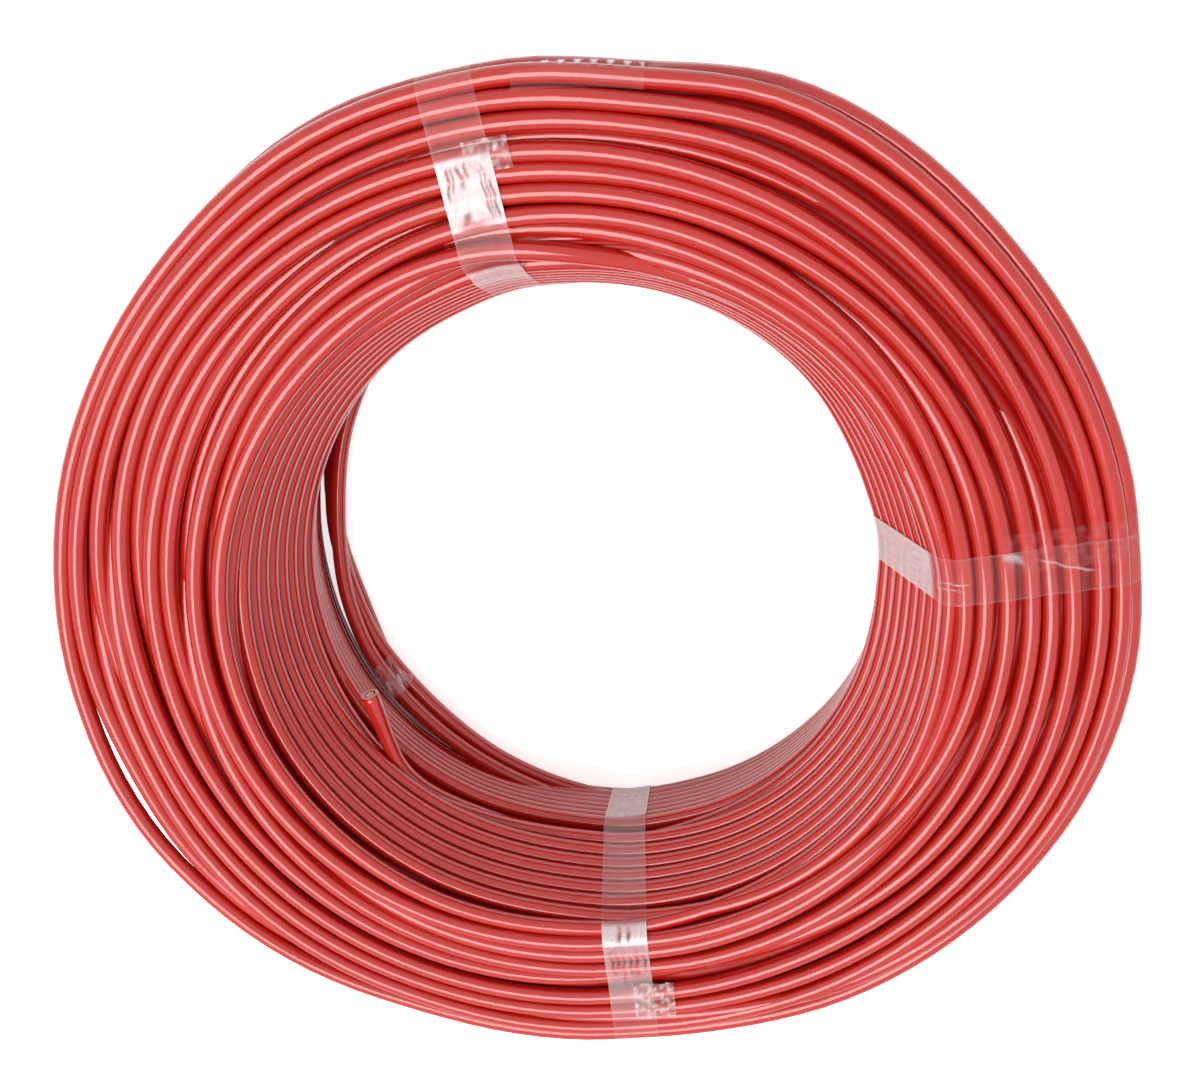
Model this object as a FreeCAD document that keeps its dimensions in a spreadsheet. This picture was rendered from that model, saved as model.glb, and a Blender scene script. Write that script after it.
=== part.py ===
"""A taped coil of single-core building wire, lying flat on its back face.

The coil stands on z = 0 with its axis on +Z. Its bore is an hourglass, because it was wound on
a mandrel of two cones. Only the layer of turns that shows from above winds, over a plain core.
Sizes are in millimetres and angles in degrees, counted from +X towards +Y.
"""
import FreeCAD, Part
import bisect
import math
import os

import Sketcher
from FreeCAD import Placement, Rotation, Vector

SIZES = {
    # The coil's envelope, tape included
    "coil_radius": 100.0,
    "coil_height": 57.0,
    "waist_radius": 58.8,
    "waist_height": 28.5,
    "mouth_radius": 68.5,
    "outer_bevel": 4.0,
    "mouth_bevel": 1.8,
    # The wire and how its outer layer lies
    "wire_diameter": 3.4,
    "turn_gap": 1.0,
    "bed_gap": 0.2,
    "mouth_turn_radius": 2.6,
    "rim_turn_radius": 4.0,
    "rim_slope_reach": 6.5,
    "first_turn_rise": 2.5,
    "wire_start_angle": 236.0,
    "wire_end_angle": 88.0,
    # The loose turns that sag into the bore at the back
    "loose_turn_height": 4.5,
    "loose_turn_gap": 0.9,
    "loose_turn_angle": 186.5,
    "loose_sag_depth_1": 9.8,
    "loose_sag_depth_2": 6.2,
    "loose_bed_height": 12.5,
    "loose_bed_gap": 1.0,
    "loose_tie_angle": 215.0,
    "loose_tie_length": 8.0,
    "loose_tie_gap": 0.6,
    # The free inner end
    "tail_bend_radius": 17.0,
    "tail_bend_angle": 42.0,
    "tail_roll_angle": 10.0,
    "tail_straight_length": 13.0,
    "strand_diameter": 0.67,
    "strand_length": 7.0,
    "strand_gap": 0.03,
    # The clear tape
    "tape_width": 9.3,
    "tape_thickness": 0.25,
    "tape_gap": 0.3,
    "tape_angle_1": 103.0,
    "tape_angle_2": 10.0,
    "tape_angle_3": 276.5,
    "tab_length": 4.5,
    "tab_width": 8.0,
    "tab_radius_1": 84.0,
    "tab_radius_2": 77.0,
    "tab_radius_3": 84.0,
    "end_strip_angle": 12.0,
    "end_strip_width": 7.0,
}
TAPE_COUNT = 3
TABS_REVERSED = (2, 3)
LOOSE_BED_REVERSED = False
LOOSE_TURNS = 2
OUTER_STRANDS = 6
TUBE_SIDES = 5
TAIL_SIDES = 6
STRAND_SIDES = 8
SLEEVE_SIDES = 8
NODE_TYPES = ("PartDesign::Body", "Part::Feature", "Part::Prism")
GAP_SAMPLES = 40
NEAREST_SAMPLES = 160
RIM_LEAN = math.pi / 4

doc = FreeCAD.newDocument("WireCoil")
sheet = doc.addObject("Spreadsheet::Sheet", "Sizes")
for row, (alias, value) in enumerate(SIZES.items(), start=1):
    sheet.set(f"A{row}", str(value))
    sheet.setAlias(f"A{row}", alias)
doc.recompute()


def size(alias):
    """The number that the sheet holds under this alias."""
    return float(sheet.get(alias))


# What the sizes give together
PINCH = "(Sizes.tape_thickness + Sizes.tape_gap)"
LAYER = f"({PINCH} + Sizes.wire_diameter + Sizes.bed_gap)"
RIM_TOP = f"(Sizes.coil_height - {LAYER} - Sizes.rim_slope_reach)"
SLOPE_TOP = "((Sizes.mouth_radius - Sizes.waist_radius) / (Sizes.coil_height - Sizes.waist_height))"
SLOPE_BACK = "((Sizes.mouth_radius - Sizes.waist_radius) / Sizes.waist_height)"
pinch = size("tape_thickness") + size("tape_gap")
wire_radius = size("wire_diameter") / 2
slope_top = (size("mouth_radius") - size("waist_radius")) / (size("coil_height") - size("waist_height"))
slope_back = (size("mouth_radius") - size("waist_radius")) / size("waist_height")


def wall_radius(height, depth, upper):
    """Expression for the bore wall's radius at a height, sunk by a depth square to the wall."""
    slope = SLOPE_TOP if upper else SLOPE_BACK
    rise = f"({height} - Sizes.waist_height)" if upper else f"(Sizes.waist_height - {height})"
    return f"(Sizes.waist_radius + {depth} * sqrt(1 + {slope}^2) + {slope} * {rise})"


def section_outline(depth):
    """Corners of the coil's section, sunk by a depth on every side, as pairs of expressions."""
    top = f"(Sizes.coil_height - {depth})"
    back = f"({depth})"
    rim = f"(Sizes.coil_radius - {depth})"
    top_wall = f"({top} - Sizes.mouth_bevel)"
    back_wall = f"({back} + Sizes.mouth_bevel)"
    return [
        (f"(Sizes.waist_radius + {depth} * sqrt(1 + {SLOPE_TOP}^2))", "Sizes.waist_height"),
        (wall_radius(top_wall, depth, True), top_wall),
        (f"({wall_radius(top, depth, True)} + Sizes.mouth_bevel)", top),
        (f"({rim} - Sizes.outer_bevel)", top),
        (rim, f"({top} - Sizes.outer_bevel)"),
        (rim, f"({back} + Sizes.outer_bevel)"),
        (f"({rim} - Sizes.outer_bevel)", back),
        (f"({wall_radius(back, depth, False)} + Sizes.mouth_bevel)", back),
        (wall_radius(back_wall, depth, False), back_wall),
    ]


def number(expression):
    """The value that an expression has now, for a sketch's first drawing."""
    return float(sheet.evalExpression(expression))


def new_sketch(body, name, role):
    """A sketch on one of the body's own origin planes."""
    sketch = body.newObject("Sketcher::SketchObject", name)
    plane = next(item for item in body.Origin.OriginFeatures if item.Role == role)
    sketch.AttachmentSupport = (plane, [""])
    sketch.MapMode = "FlatFace"
    return sketch


def draw_closed(sketch, prefix, corners):
    """A closed outline whose every corner is bound to the sheet in both directions."""
    points = [Vector(number(across), number(up), 0) for across, up in corners]
    first = sketch.GeometryCount
    for index, point in enumerate(points):
        sketch.addGeometry(Part.LineSegment(point, points[(index + 1) % len(points)]), False)
    for index in range(len(points)):
        after = (index + 1) % len(points)
        sketch.addConstraint(Sketcher.Constraint("Coincident", first + index, 2, first + after, 1))
    for index, (corner, point) in enumerate(zip(corners, points)):
        for kind, name, value, expression in (
            ("DistanceX", f"{prefix}_across_{index}", point.x, corner[0]),
            ("DistanceY", f"{prefix}_up_{index}", point.y, corner[1]),
        ):
            made = sketch.addConstraint(Sketcher.Constraint(kind, -1, 1, first + index, 1, value))
            sketch.renameConstraint(made, name)
            sketch.setExpression(f"Constraints.{name}", expression)


def new_body(label):
    body = doc.addObject("PartDesign::Body", label.title().replace("_", ""))
    body.Label = label
    return body


def new_feature(label, shape):
    """A sub-part that follows a curve in space and so is swept by Part's own functions."""
    feature = doc.addObject("Part::Feature", label.title().replace("_", ""))
    feature.Label = label
    feature.Shape = shape
    feature.Placement = Placement()
    return feature


# The core: the layers under the turns that show, closed and flat at the back
def make_core():
    body = new_body("coil_core")
    profile = new_sketch(body, "CoreProfile", "XZ_Plane")
    outline = section_outline("0")
    waist, back_rim, back_edge = outline[0], outline[5], outline[6]
    top = f"(Sizes.coil_height - {LAYER})"
    draw_closed(profile, "core", [
        waist,
        (wall_radius(waist[1], LAYER, True), waist[1]),
        (wall_radius(top, LAYER, True), top),
        ("(Sizes.coil_radius - Sizes.rim_slope_reach)", top),
        ("Sizes.coil_radius", RIM_TOP),
        back_rim,
        back_edge,
        (wall_radius("0", "0", False), "0"),
    ])
    turned = body.newObject("PartDesign::Revolution", "CoreTurned")
    turned.Profile = profile
    turned.ReferenceAxis = (profile, ["V_Axis"])
    turned.Angle = 360.0
    doc.recompute()
    cut_loose_bed(body)
    for index in range(1, TAPE_COUNT + 1):
        cut_tape_seat(body, index)
    return body


def turned_sketch(body, name, angle):
    """A sketch that stands on the axis and faces round it by an angle from the sheet."""
    sketch = new_sketch(body, name, "XZ_Plane")
    sketch.AttachmentOffset = Placement(Vector(), Rotation(Vector(0, 1, 0), 1))
    sketch.setExpression("AttachmentOffset.Rotation.Angle", angle)
    return sketch


def must_cut(body, cut):
    """Make a cut the body's tip, once it has taken something away."""
    doc.recompute()
    before = cut.BaseFeature.Shape.Volume
    if not cut.Shape.Volume < before:
        raise SystemExit(f"{cut.Label} cut nothing")
    body.Tip = cut


def cut_loose_bed(body):
    """Bare wall between two bands, where the loose turns have come away at the back."""
    bed = turned_sketch(body, "LooseBed", "Sizes.tape_angle_1")
    up = "Sizes.loose_bed_height"
    depth = f"({LAYER} + Sizes.loose_bed_gap)"
    draw_closed(bed, "bed", [
        ("Sizes.waist_radius", "0"),
        (wall_radius("0", depth, False), "0"),
        (wall_radius(up, depth, False), up),
        ("Sizes.waist_radius", up),
    ])
    cut = body.newObject("PartDesign::Groove", "LooseBedCut")
    cut.Profile = bed
    cut.ReferenceAxis = (bed, ["V_Axis"])
    cut.Reversed = LOOSE_BED_REVERSED
    cut.setExpression("Angle", "Sizes.tape_angle_3 - Sizes.tape_angle_1")
    must_cut(body, cut)


def cut_tape_seat(body, index):
    """Shallow seat that leaves a tape band flush with the coil's envelope."""
    seat = turned_sketch(body, f"TapeSeat{index}", f"Sizes.tape_angle_{index}")
    clear = "Sizes.coil_height"
    near = "(Sizes.waist_radius / 2)"
    far = f"(Sizes.coil_radius + {clear})"
    draw_closed(seat, "clear", [
        (near, f"(-{clear})"),
        (far, f"(-{clear})"),
        (far, f"(2 * {clear})"),
        (near, f"(2 * {clear})"),
    ])
    draw_closed(seat, "seat", section_outline(PINCH))
    cut = body.newObject("PartDesign::Pocket", f"TapeCut{index}")
    cut.Profile = seat
    cut.Midplane = True
    cut.setExpression("Length", "Sizes.tape_width + 2 * Sizes.tape_gap")
    must_cut(body, cut)


# Tape: one closed band round the section at each station, with its free end on the top face
def make_tape_band(index):
    body = new_body(f"tape_band_{index}")
    profile = new_sketch(body, f"Band{index}Profile", "XZ_Plane")
    draw_closed(profile, "outer", section_outline("0"))
    draw_closed(profile, "inner", section_outline("Sizes.tape_thickness"))
    band = body.newObject("PartDesign::Pad", f"Band{index}Pad")
    band.Profile = profile
    band.Midplane = True
    band.setExpression("Length", "Sizes.tape_width")
    tab = new_sketch(body, f"Band{index}Tab", "XZ_Plane")
    low = "(Sizes.coil_height - Sizes.tape_thickness)"
    near = f"(Sizes.tab_radius_{index} - Sizes.tab_width / 2)"
    far = f"(Sizes.tab_radius_{index} + Sizes.tab_width / 2)"
    draw_closed(tab, "tab", [(near, low), (far, low), (far, "Sizes.coil_height"), (near, "Sizes.coil_height")])
    free_end = body.newObject("PartDesign::Pad", f"Band{index}FreeEnd")
    free_end.Profile = tab
    free_end.Reversed = index in TABS_REVERSED
    free_end.setExpression("Length", "Sizes.tape_width / 2 + Sizes.tab_length")
    body.Placement = Placement(Vector(), Rotation(Vector(0, 0, 1), 1))
    body.setExpression("Placement.Rotation.Angle", f"Sizes.tape_angle_{index}")
    doc.recompute()
    return body


def make_end_strip():
    """The short strip that holds the wire's outer end to the rim."""
    body = new_body("outer_end_tape")
    profile = new_sketch(body, "EndStripProfile", "XZ_Plane")
    low = f"({RIM_TOP} + {PINCH})"
    high = f"({low} + Sizes.end_strip_width)"
    inside = "(Sizes.coil_radius - Sizes.tape_thickness)"
    draw_closed(profile, "strip", [
        (inside, low),
        ("Sizes.coil_radius", low),
        ("Sizes.coil_radius", high),
        (inside, high),
    ])
    strip = body.newObject("PartDesign::Revolution", "EndStripTurned")
    strip.Profile = profile
    strip.ReferenceAxis = (profile, ["V_Axis"])
    strip.Midplane = True
    strip.setExpression("Angle", "Sizes.end_strip_angle")
    body.Placement = Placement(Vector(), Rotation(Vector(0, 0, 1), 1))
    body.setExpression("Placement.Rotation.Angle", "Sizes.wire_end_angle")
    doc.recompute()
    return body


# Wire: curves in space as biarcs, and a pipe shell along them
def biarc(start, start_way, end, end_way):
    """Two arcs that leave start along one direction and reach end along another."""
    chord = end - start
    ways = start_way + end_way
    spread = 2 * (1 - start_way.dot(end_way))
    reach = (math.sqrt(chord.dot(ways) ** 2 + spread * chord.dot(chord)) - chord.dot(ways)) / spread
    first_apex = start + start_way * reach
    last_apex = end - end_way * reach
    joint = (first_apex + last_apex) * 0.5
    return [arc_edge(start, first_apex, joint), arc_edge(joint, last_apex, end)]


def arc_edge(start, apex, end):
    """The arc that touches start-apex at start and apex-end at end."""
    into = (apex - start).normalize()
    out = (end - apex).normalize()
    weight = math.cos(into.getAngle(out) / 2)
    middle = (start + apex * (2 * weight) + end) * (1 / (2 + 2 * weight))
    return Part.Arc(start, middle, end).toShape()


def station(radius, radius_rate, height, height_rate, angle):
    """A point of a turn and the direction of the wire there; rates are per radian."""
    across = Vector(math.cos(angle), math.sin(angle), 0)
    along = Vector(-math.sin(angle), math.cos(angle), 0)
    point = across * radius + Vector(0, 0, height)
    way = across * radius_rate + along * radius + Vector(0, 0, height_rate)
    return point, way.normalize()


def route_edges(stations):
    """Straight ends one wire diameter long, with biarcs from station to station between them."""
    lead = size("wire_diameter")
    first, first_way = stations[0]
    last, last_way = stations[-1]
    edges = [Part.LineSegment(first - first_way * lead, first).toShape()]
    for (start, start_way), (end, end_way) in zip(stations, stations[1:]):
        edges += biarc(start, start_way, end, end_way)
    edges.append(Part.LineSegment(last, last + last_way * lead).toShape())
    return edges


def faceted_wire(edges, sides):
    """The wire as one unbroken faceted tube along the edges."""
    start = edges[0].valueAt(edges[0].FirstParameter)
    way = edges[0].tangentAt(edges[0].FirstParameter)
    level = way.cross(Vector(0, 0, 1)).normalize()
    upward = level.cross(way)
    corners = []
    for index in range(sides):
        turn = 2 * math.pi * (index + 0.5) / sides
        corners.append(start + (level * math.cos(turn) + upward * math.sin(turn)) * wire_radius)
    section = Part.makePolygon(corners + corners[:1])
    shell = Part.BRepOffsetAPI.MakePipeShell(Part.Wire(edges))
    shell.add(section)
    shell.build()
    shell.makeSolid()
    solid = shell.shape()
    expected = Part.Face(section).Area * sum(edge.Length for edge in edges)
    print(f"tube volume {solid.Volume:.1f}, section times length {expected:.1f}")
    return solid


def points_along(edges):
    """Points on the middle of the wire, its straight ends left out."""
    points = []
    for edge in edges[1:-1]:
        span = edge.LastParameter - edge.FirstParameter
        points += [edge.valueAt(edge.FirstParameter + span * step / GAP_SAMPLES) for step in range(GAP_SAMPLES)]
    return points


def gap_to_chords(point, points):
    """Distance from a point to the nearest chord between points in a row."""
    least = point.distanceToPoint(points[0])
    for start, end in zip(points, points[1:]):
        chord = end - start
        share = min(max((point - start).dot(chord) / chord.dot(chord), 0), 1)
        least = min(least, point.distanceToPoint(start + chord * share))
    return least


def least_gap_to_itself(points):
    """Least distance from one turn to the next, less the wire's diameter."""
    turned = [0.0]
    for before, after in zip(points, points[1:]):
        step = math.atan2(before.x * after.y - before.y * after.x, before.x * after.x + before.y * after.y)
        turned.append(turned[-1] + step)
    least = size("coil_radius")
    for point, angle in zip(points, turned):
        if angle + 2 * math.pi < turned[-1]:
            index = bisect.bisect(turned, angle + 2 * math.pi)
            least = min(least, gap_to_chords(point, points[index - 2:index + 2]))
    return least - size("wire_diameter")


class Guide:
    """Line that the middle of the wire keeps to in the section: bore wall, top face, rim slope."""

    def __init__(self):
        depth = pinch + wire_radius
        top = size("coil_height") - depth
        rim = size("coil_radius") - depth
        lean = math.atan2(1, slope_top)
        wall_at_waist = size("waist_radius") + depth * math.hypot(1, slope_top)
        start_up = size("waist_height") + size("first_turn_rise")
        start = (wall_at_waist + slope_top * (start_up - size("waist_height")), start_up)
        corner = wall_at_waist + slope_top * (top - size("waist_height"))
        mouth = size("mouth_turn_radius")
        outer = size("rim_turn_radius")
        cut_back = mouth * math.tan(lean / 2)
        wall_end = (corner - cut_back * math.cos(lean), top - cut_back * math.sin(lean))
        wall_length = math.hypot(wall_end[0] - start[0], wall_end[1] - start[1])
        slope_lift = (wire_radius + size("bed_gap")) * math.tan(RIM_LEAN / 2)
        edge = size("coil_radius") - size("rim_slope_reach") + slope_lift
        outer_back = outer * math.tan(RIM_LEAN / 2)
        slope_start = (edge + outer_back * math.cos(RIM_LEAN), top - outer_back * math.sin(RIM_LEAN))
        slope_length = (rim - slope_start[0]) / math.cos(RIM_LEAN)
        self.pieces = [
            ("line", wall_length, start, lean),
            ("arc", mouth * lean, (corner + cut_back, top - mouth), (mouth, math.pi / 2 + lean)),
            ("line", edge - outer_back - corner - cut_back, (corner + cut_back, top), 0.0),
            ("arc", outer * RIM_LEAN, (edge - outer_back, top - outer), (outer, math.pi / 2)),
            ("line", slope_length, slope_start, -RIM_LEAN),
        ]
        self.length = sum(piece[1] for piece in self.pieces)

    def at(self, distance):
        """Radius and height at a distance along the guide, and their rates per millimetre."""
        for kind, length, origin, more in self.pieces:
            if distance <= length or more == -RIM_LEAN:
                break
            distance -= length
        if kind == "line":
            return (origin[0] + distance * math.cos(more), origin[1] + distance * math.sin(more),
                    math.cos(more), math.sin(more))
        radius, from_angle = more
        angle = from_angle - distance / radius
        return (origin[0] + radius * math.cos(angle), origin[1] + radius * math.sin(angle),
                math.sin(angle), -math.cos(angle))


def wound_stations():
    """Stations just under half a turn apart, from the tail up the bore, over the top and down."""
    guide = Guide()
    part_turn = (size("wire_end_angle") - size("wire_start_angle")) % 360 / 360
    most = guide.length / (size("wire_diameter") + size("turn_gap"))
    turns = math.floor(most - part_turn) + part_turn
    spans = math.ceil(2 * turns)
    pitch = guide.length / turns
    print(f"{turns:.2f} turns show, {pitch:.2f} mm apart")
    stations = []
    for index in range(spans + 1):
        turn = turns * index / spans
        radius, height, radius_rate, height_rate = guide.at(pitch * turn)
        rate = pitch / (2 * math.pi)
        angle = math.radians(size("wire_start_angle")) + 2 * math.pi * turn
        stations.append(station(radius, radius_rate * rate, height, height_rate * rate, angle))
    return stations


def loose_stations(index):
    """Three stations: out of one wall of the bare bed, at the deepest sag, into the other wall."""
    pitch = (size("wire_diameter") + size("loose_turn_gap")) / math.hypot(1, slope_back)
    height = size("loose_turn_height") + pitch * index
    wall = size("waist_radius") + (pinch + wire_radius) * math.hypot(1, slope_back)
    wall += slope_back * (size("waist_height") - height)
    sagged = wall - size(f"loose_sag_depth_{index + 1}")
    lead = size("wire_diameter") + size("bed_gap")
    start, start_way = station(wall, 0, height, 0, math.radians(size("tape_angle_1")))
    end, end_way = station(wall, 0, height, 0, math.radians(size("tape_angle_3")))
    sag = station(sagged, 0, height, 0, math.radians(size("loose_turn_angle")))
    return [(start + start_way * lead, start_way), sag, (end - end_way * lead, end_way)]


def make_tail(start, way):
    """The inner end: straight out of its turn, one bend off the wall, then straight to the cut."""
    inward = Vector(-start.x, -start.y, 0).normalize()
    roll = math.radians(size("tail_roll_angle"))
    aside = (inward * math.cos(roll) + Vector(0, 0, 1) * math.sin(roll))
    aside = (aside - way * aside.dot(way)).normalize()
    bend = math.radians(size("tail_bend_angle"))
    radius = size("tail_bend_radius")
    centre = start + aside * radius
    middle = centre - aside * (radius * math.cos(bend / 2)) + way * (radius * math.sin(bend / 2))
    turned = centre - aside * (radius * math.cos(bend)) + way * (radius * math.sin(bend))
    out = way * math.cos(bend) + aside * math.sin(bend)
    tip = turned + out * size("tail_straight_length")
    route = [Part.Arc(start, middle, turned).toShape(), Part.LineSegment(turned, tip).toShape()]
    root = tip - out * size("strand_length")
    bore_radius = 1.5 * size("strand_diameter") + size("strand_gap")
    bore = Part.makeCylinder(bore_radius, size("tail_straight_length"), root, out)
    new_feature("tail_insulation", faceted_wire(route, TAIL_SIDES).cut(bore))
    print(f"tail tip at {tip.x:.1f}, {tip.y:.1f}, {tip.z:.1f}, pointing {out.x:.2f}, {out.y:.2f}, {out.z:.2f}")
    make_strands(root, out)


def make_strands(root, out):
    """Seven bright strands, one in the middle and six round it, flush with the cut."""
    across = out.cross(Vector(0, 0, 1)).normalize()
    above = across.cross(out)
    places = [("strand_centre", root)]
    for index in range(OUTER_STRANDS):
        turn = 2 * math.pi * index / OUTER_STRANDS
        offset = (across * math.cos(turn) + above * math.sin(turn)) * size("strand_diameter")
        places.append((f"strand_{index + 1}", root + offset))
    for label, place in places:
        strand = doc.addObject("Part::Prism", label.title().replace("_", ""))
        strand.Label = label
        strand.Polygon = STRAND_SIDES
        strand.setExpression("Circumradius", "(Sizes.strand_diameter - Sizes.strand_gap) / 2")
        strand.setExpression("Height", "Sizes.strand_length")
        strand.Placement = Placement(place, Rotation(Vector(0, 0, 1), out))


def nearest_to_angle(edges, angle):
    """The point of a route that lies nearest to an angle round the axis, and the wire's way there."""
    target = Vector(math.cos(math.radians(angle)), math.sin(math.radians(angle)), 0)
    best = None
    for edge in edges:
        span = edge.LastParameter - edge.FirstParameter
        for step in range(NEAREST_SAMPLES):
            parameter = edge.FirstParameter + span * step / NEAREST_SAMPLES
            point = edge.valueAt(parameter)
            off = Vector(point.x, point.y, 0).getAngle(target)
            if best is None or off < best[0]:
                best = (off, point, edge.tangentAt(parameter))
    return best[1], best[2]


def make_loose_tie(routes):
    """The twist of tape round the loose turns: a flat sleeve that clears both."""
    (first, first_way), (second, second_way) = [
        nearest_to_angle(edges, size("loose_tie_angle")) for edges in routes
    ]
    way = (first_way + second_way).normalize()
    apart = second - first
    apart = apart - way * apart.dot(way)
    reach = apart.Length / 2
    apart.normalize()
    flat = way.cross(apart)
    middle = (first + second) * 0.5
    length = size("loose_tie_length")

    def filled(radius):
        """An eight-sided bar round both wires, its flats a radius from their middles."""
        corners = []
        for index in range(SLEEVE_SIDES):
            turn = 2 * math.pi * (index + 0.5) / SLEEVE_SIDES
            side = reach if math.cos(turn) > 0 else -reach
            out = radius / math.cos(math.pi / SLEEVE_SIDES)
            corners.append(middle + apart * (side + out * math.cos(turn)) + flat * (out * math.sin(turn)))
        face = Part.Face(Part.makePolygon(corners + corners[:1]))
        return face.extrude(way * length)

    clear = wire_radius + size("loose_tie_gap")
    sleeve = filled(clear + size("tape_thickness")).cut(filled(clear))
    sleeve.translate(way * (-length / 2))
    new_feature("loose_turn_tape", sleeve)


def make_wire():
    wound = wound_stations()
    edges = route_edges(wound)
    new_feature("wound_turns", faceted_wire(edges, TUBE_SIDES))
    print(f"wound turns: least gap of the tube to itself {least_gap_to_itself(points_along(edges)):.2f} mm")
    loose_routes = [route_edges(loose_stations(index)) for index in range(LOOSE_TURNS)]
    for index, route in enumerate(loose_routes):
        new_feature(f"loose_turn_{index + 1}", faceted_wire(route, TUBE_SIDES))
    first, second = [points_along(route) for route in loose_routes]
    between = min(gap_to_chords(point, second) for point in first) - size("wire_diameter")
    print(f"loose turns: least gap between them {between:.2f} mm")
    make_loose_tie(loose_routes)
    start, way = wound[0]
    make_tail(start - way * size("wire_diameter"), way * -1)


def write_parts():
    """Check every object and every sub-part, then write one STEP file for each node."""
    doc.recompute()
    for item in doc.Objects:
        if "Invalid" in item.State or "Error" in item.State:
            raise SystemExit(f"{item.Name} failed: {item.State}")
    nodes = [item for item in doc.Objects if item.TypeId in NODE_TYPES]
    for node in nodes:
        if node.Shape.isNull() or not node.Shape.isValid() or not node.Shape.Solids:
            raise SystemExit(f"{node.Label} has no valid solid")
    os.makedirs("parts", exist_ok=True)
    for node in nodes:
        node.Shape.exportStep(f"parts/{node.Label}.step")
        box = node.Shape.BoundBox
        print(f"{node.Label}: {len(node.Shape.Solids)} solid, {node.Shape.Volume / 1000:.3f} cm3, "
              f"x {box.XMin:.1f} to {box.XMax:.1f}, y {box.YMin:.1f} to {box.YMax:.1f}, "
              f"z {box.ZMin:.2f} to {box.ZMax:.2f}")


make_core()
for band in range(1, TAPE_COUNT + 1):
    make_tape_band(band)
make_end_strip()
make_wire()
write_parts()
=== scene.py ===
# %% [markdown]
# # A taped coil of building wire
#
# The object is a ring coil: one length of red insulated wire, wound on a mandrel, taken off it and
# held by bands of clear tape. Seen close up it is nothing but wire, so the lesson is about one
# thing above all: how to lay a few dozen turns of wire that look hand-filled, not machined.
#
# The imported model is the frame. It fixes where the coil stands, how big it is and where the tape
# sits. Lengths below are written in millimetres, and one constant turns them into metres.

import bpy
import numpy as np
from mathutils import Matrix, Vector


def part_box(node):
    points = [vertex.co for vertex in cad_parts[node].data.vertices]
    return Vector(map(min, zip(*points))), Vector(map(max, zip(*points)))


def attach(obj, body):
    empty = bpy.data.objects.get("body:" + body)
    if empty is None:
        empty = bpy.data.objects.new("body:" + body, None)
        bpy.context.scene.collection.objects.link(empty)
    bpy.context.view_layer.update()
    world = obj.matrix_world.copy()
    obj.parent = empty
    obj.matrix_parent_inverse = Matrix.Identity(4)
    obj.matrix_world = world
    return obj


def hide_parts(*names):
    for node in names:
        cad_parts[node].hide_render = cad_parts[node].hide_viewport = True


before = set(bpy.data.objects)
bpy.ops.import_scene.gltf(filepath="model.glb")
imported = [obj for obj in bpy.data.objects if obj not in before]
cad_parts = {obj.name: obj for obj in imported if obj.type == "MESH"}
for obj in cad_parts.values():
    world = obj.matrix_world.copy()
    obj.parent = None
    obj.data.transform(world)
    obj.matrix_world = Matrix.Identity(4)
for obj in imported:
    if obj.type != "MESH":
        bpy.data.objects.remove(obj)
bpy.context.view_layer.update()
MM = 0.001
rng = np.random.default_rng(29)
print("pieces in the frame:", len(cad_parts))


# %% [markdown]
# ## Camera
#
# The photograph looks down on the coil from above the rim at the top of the picture, close enough
# for strong perspective: the bore wall across from the camera shows in full, and the mouth hides
# the one below it. The place, the tilt and the lens below reproduce that view. The focal length is
# written in pixels of the photograph, and turned into that of a 36 mm sensor. Angles are in radians.

# %% Camera
IMAGE_WIDTH = 1197
FOCAL_PIXELS = 1232
CAMERA_PLACE = np.array([14.3, 100.5, 262.0])
CAMERA_TILT = -0.381
CAMERA_TURN = 0.057

camera_data = bpy.data.cameras.new("photo_view")
camera_data.sensor_width = 36.0
camera_data.lens = camera_data.sensor_width * FOCAL_PIXELS / IMAGE_WIDTH
camera_data.clip_start = 0.01
camera = bpy.data.objects.new("photo_view", camera_data)
bpy.context.scene.collection.objects.link(camera)
camera.matrix_world = (
    Matrix.Translation(Vector(CAMERA_PLACE * MM))
    @ Matrix.Rotation(CAMERA_TURN, 4, "Y")
    @ Matrix.Rotation(CAMERA_TILT, 4, "X")
)
bpy.context.scene.camera = camera
print("lens", round(camera_data.lens, 2), "mm")


# %% [markdown]
# ## Small helpers for materials
#
# A colour is read off a screen as an sRGB hex value, but the shader works in linear light, so one
# function converts it. One more function adds a node with its settings and links, and every
# material below is built from it.

# %% Colour and node helpers
def linear(hex_colour):
    """sRGB hex to linear RGBA: below 0.04045 divide by 12.92, above it ((c + 0.055) / 1.055) ^ 2.4."""
    values = np.array([int(hex_colour[i:i + 2], 16) for i in (1, 3, 5)]) / 255
    low = values / 12.92
    high = ((values + 0.055) / 1.055) ** 2.4
    return (*np.where(values <= 0.04045, low, high).tolist(), 1.0)


def add_node(tree, kind, inputs=None, **settings):
    """Adds a node of one kind, sets its own settings, and fills or links its inputs."""
    node = tree.nodes.new(kind)
    for name, value in settings.items():
        setattr(node, name, value)
    for key, value in (inputs or {}).items():
        if isinstance(value, bpy.types.NodeSocket):
            tree.links.new(value, node.inputs[key])
        else:
            node.inputs[key].default_value = value
    return node


def new_material(name):
    """An empty material with its output node."""
    material = bpy.data.materials.new(name)
    material.use_nodes = True
    material.node_tree.nodes.clear()
    output = add_node(material.node_tree, "ShaderNodeOutputMaterial")
    return material, material.node_tree, output


print("white in linear light:", linear("#ffffff"))


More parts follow.
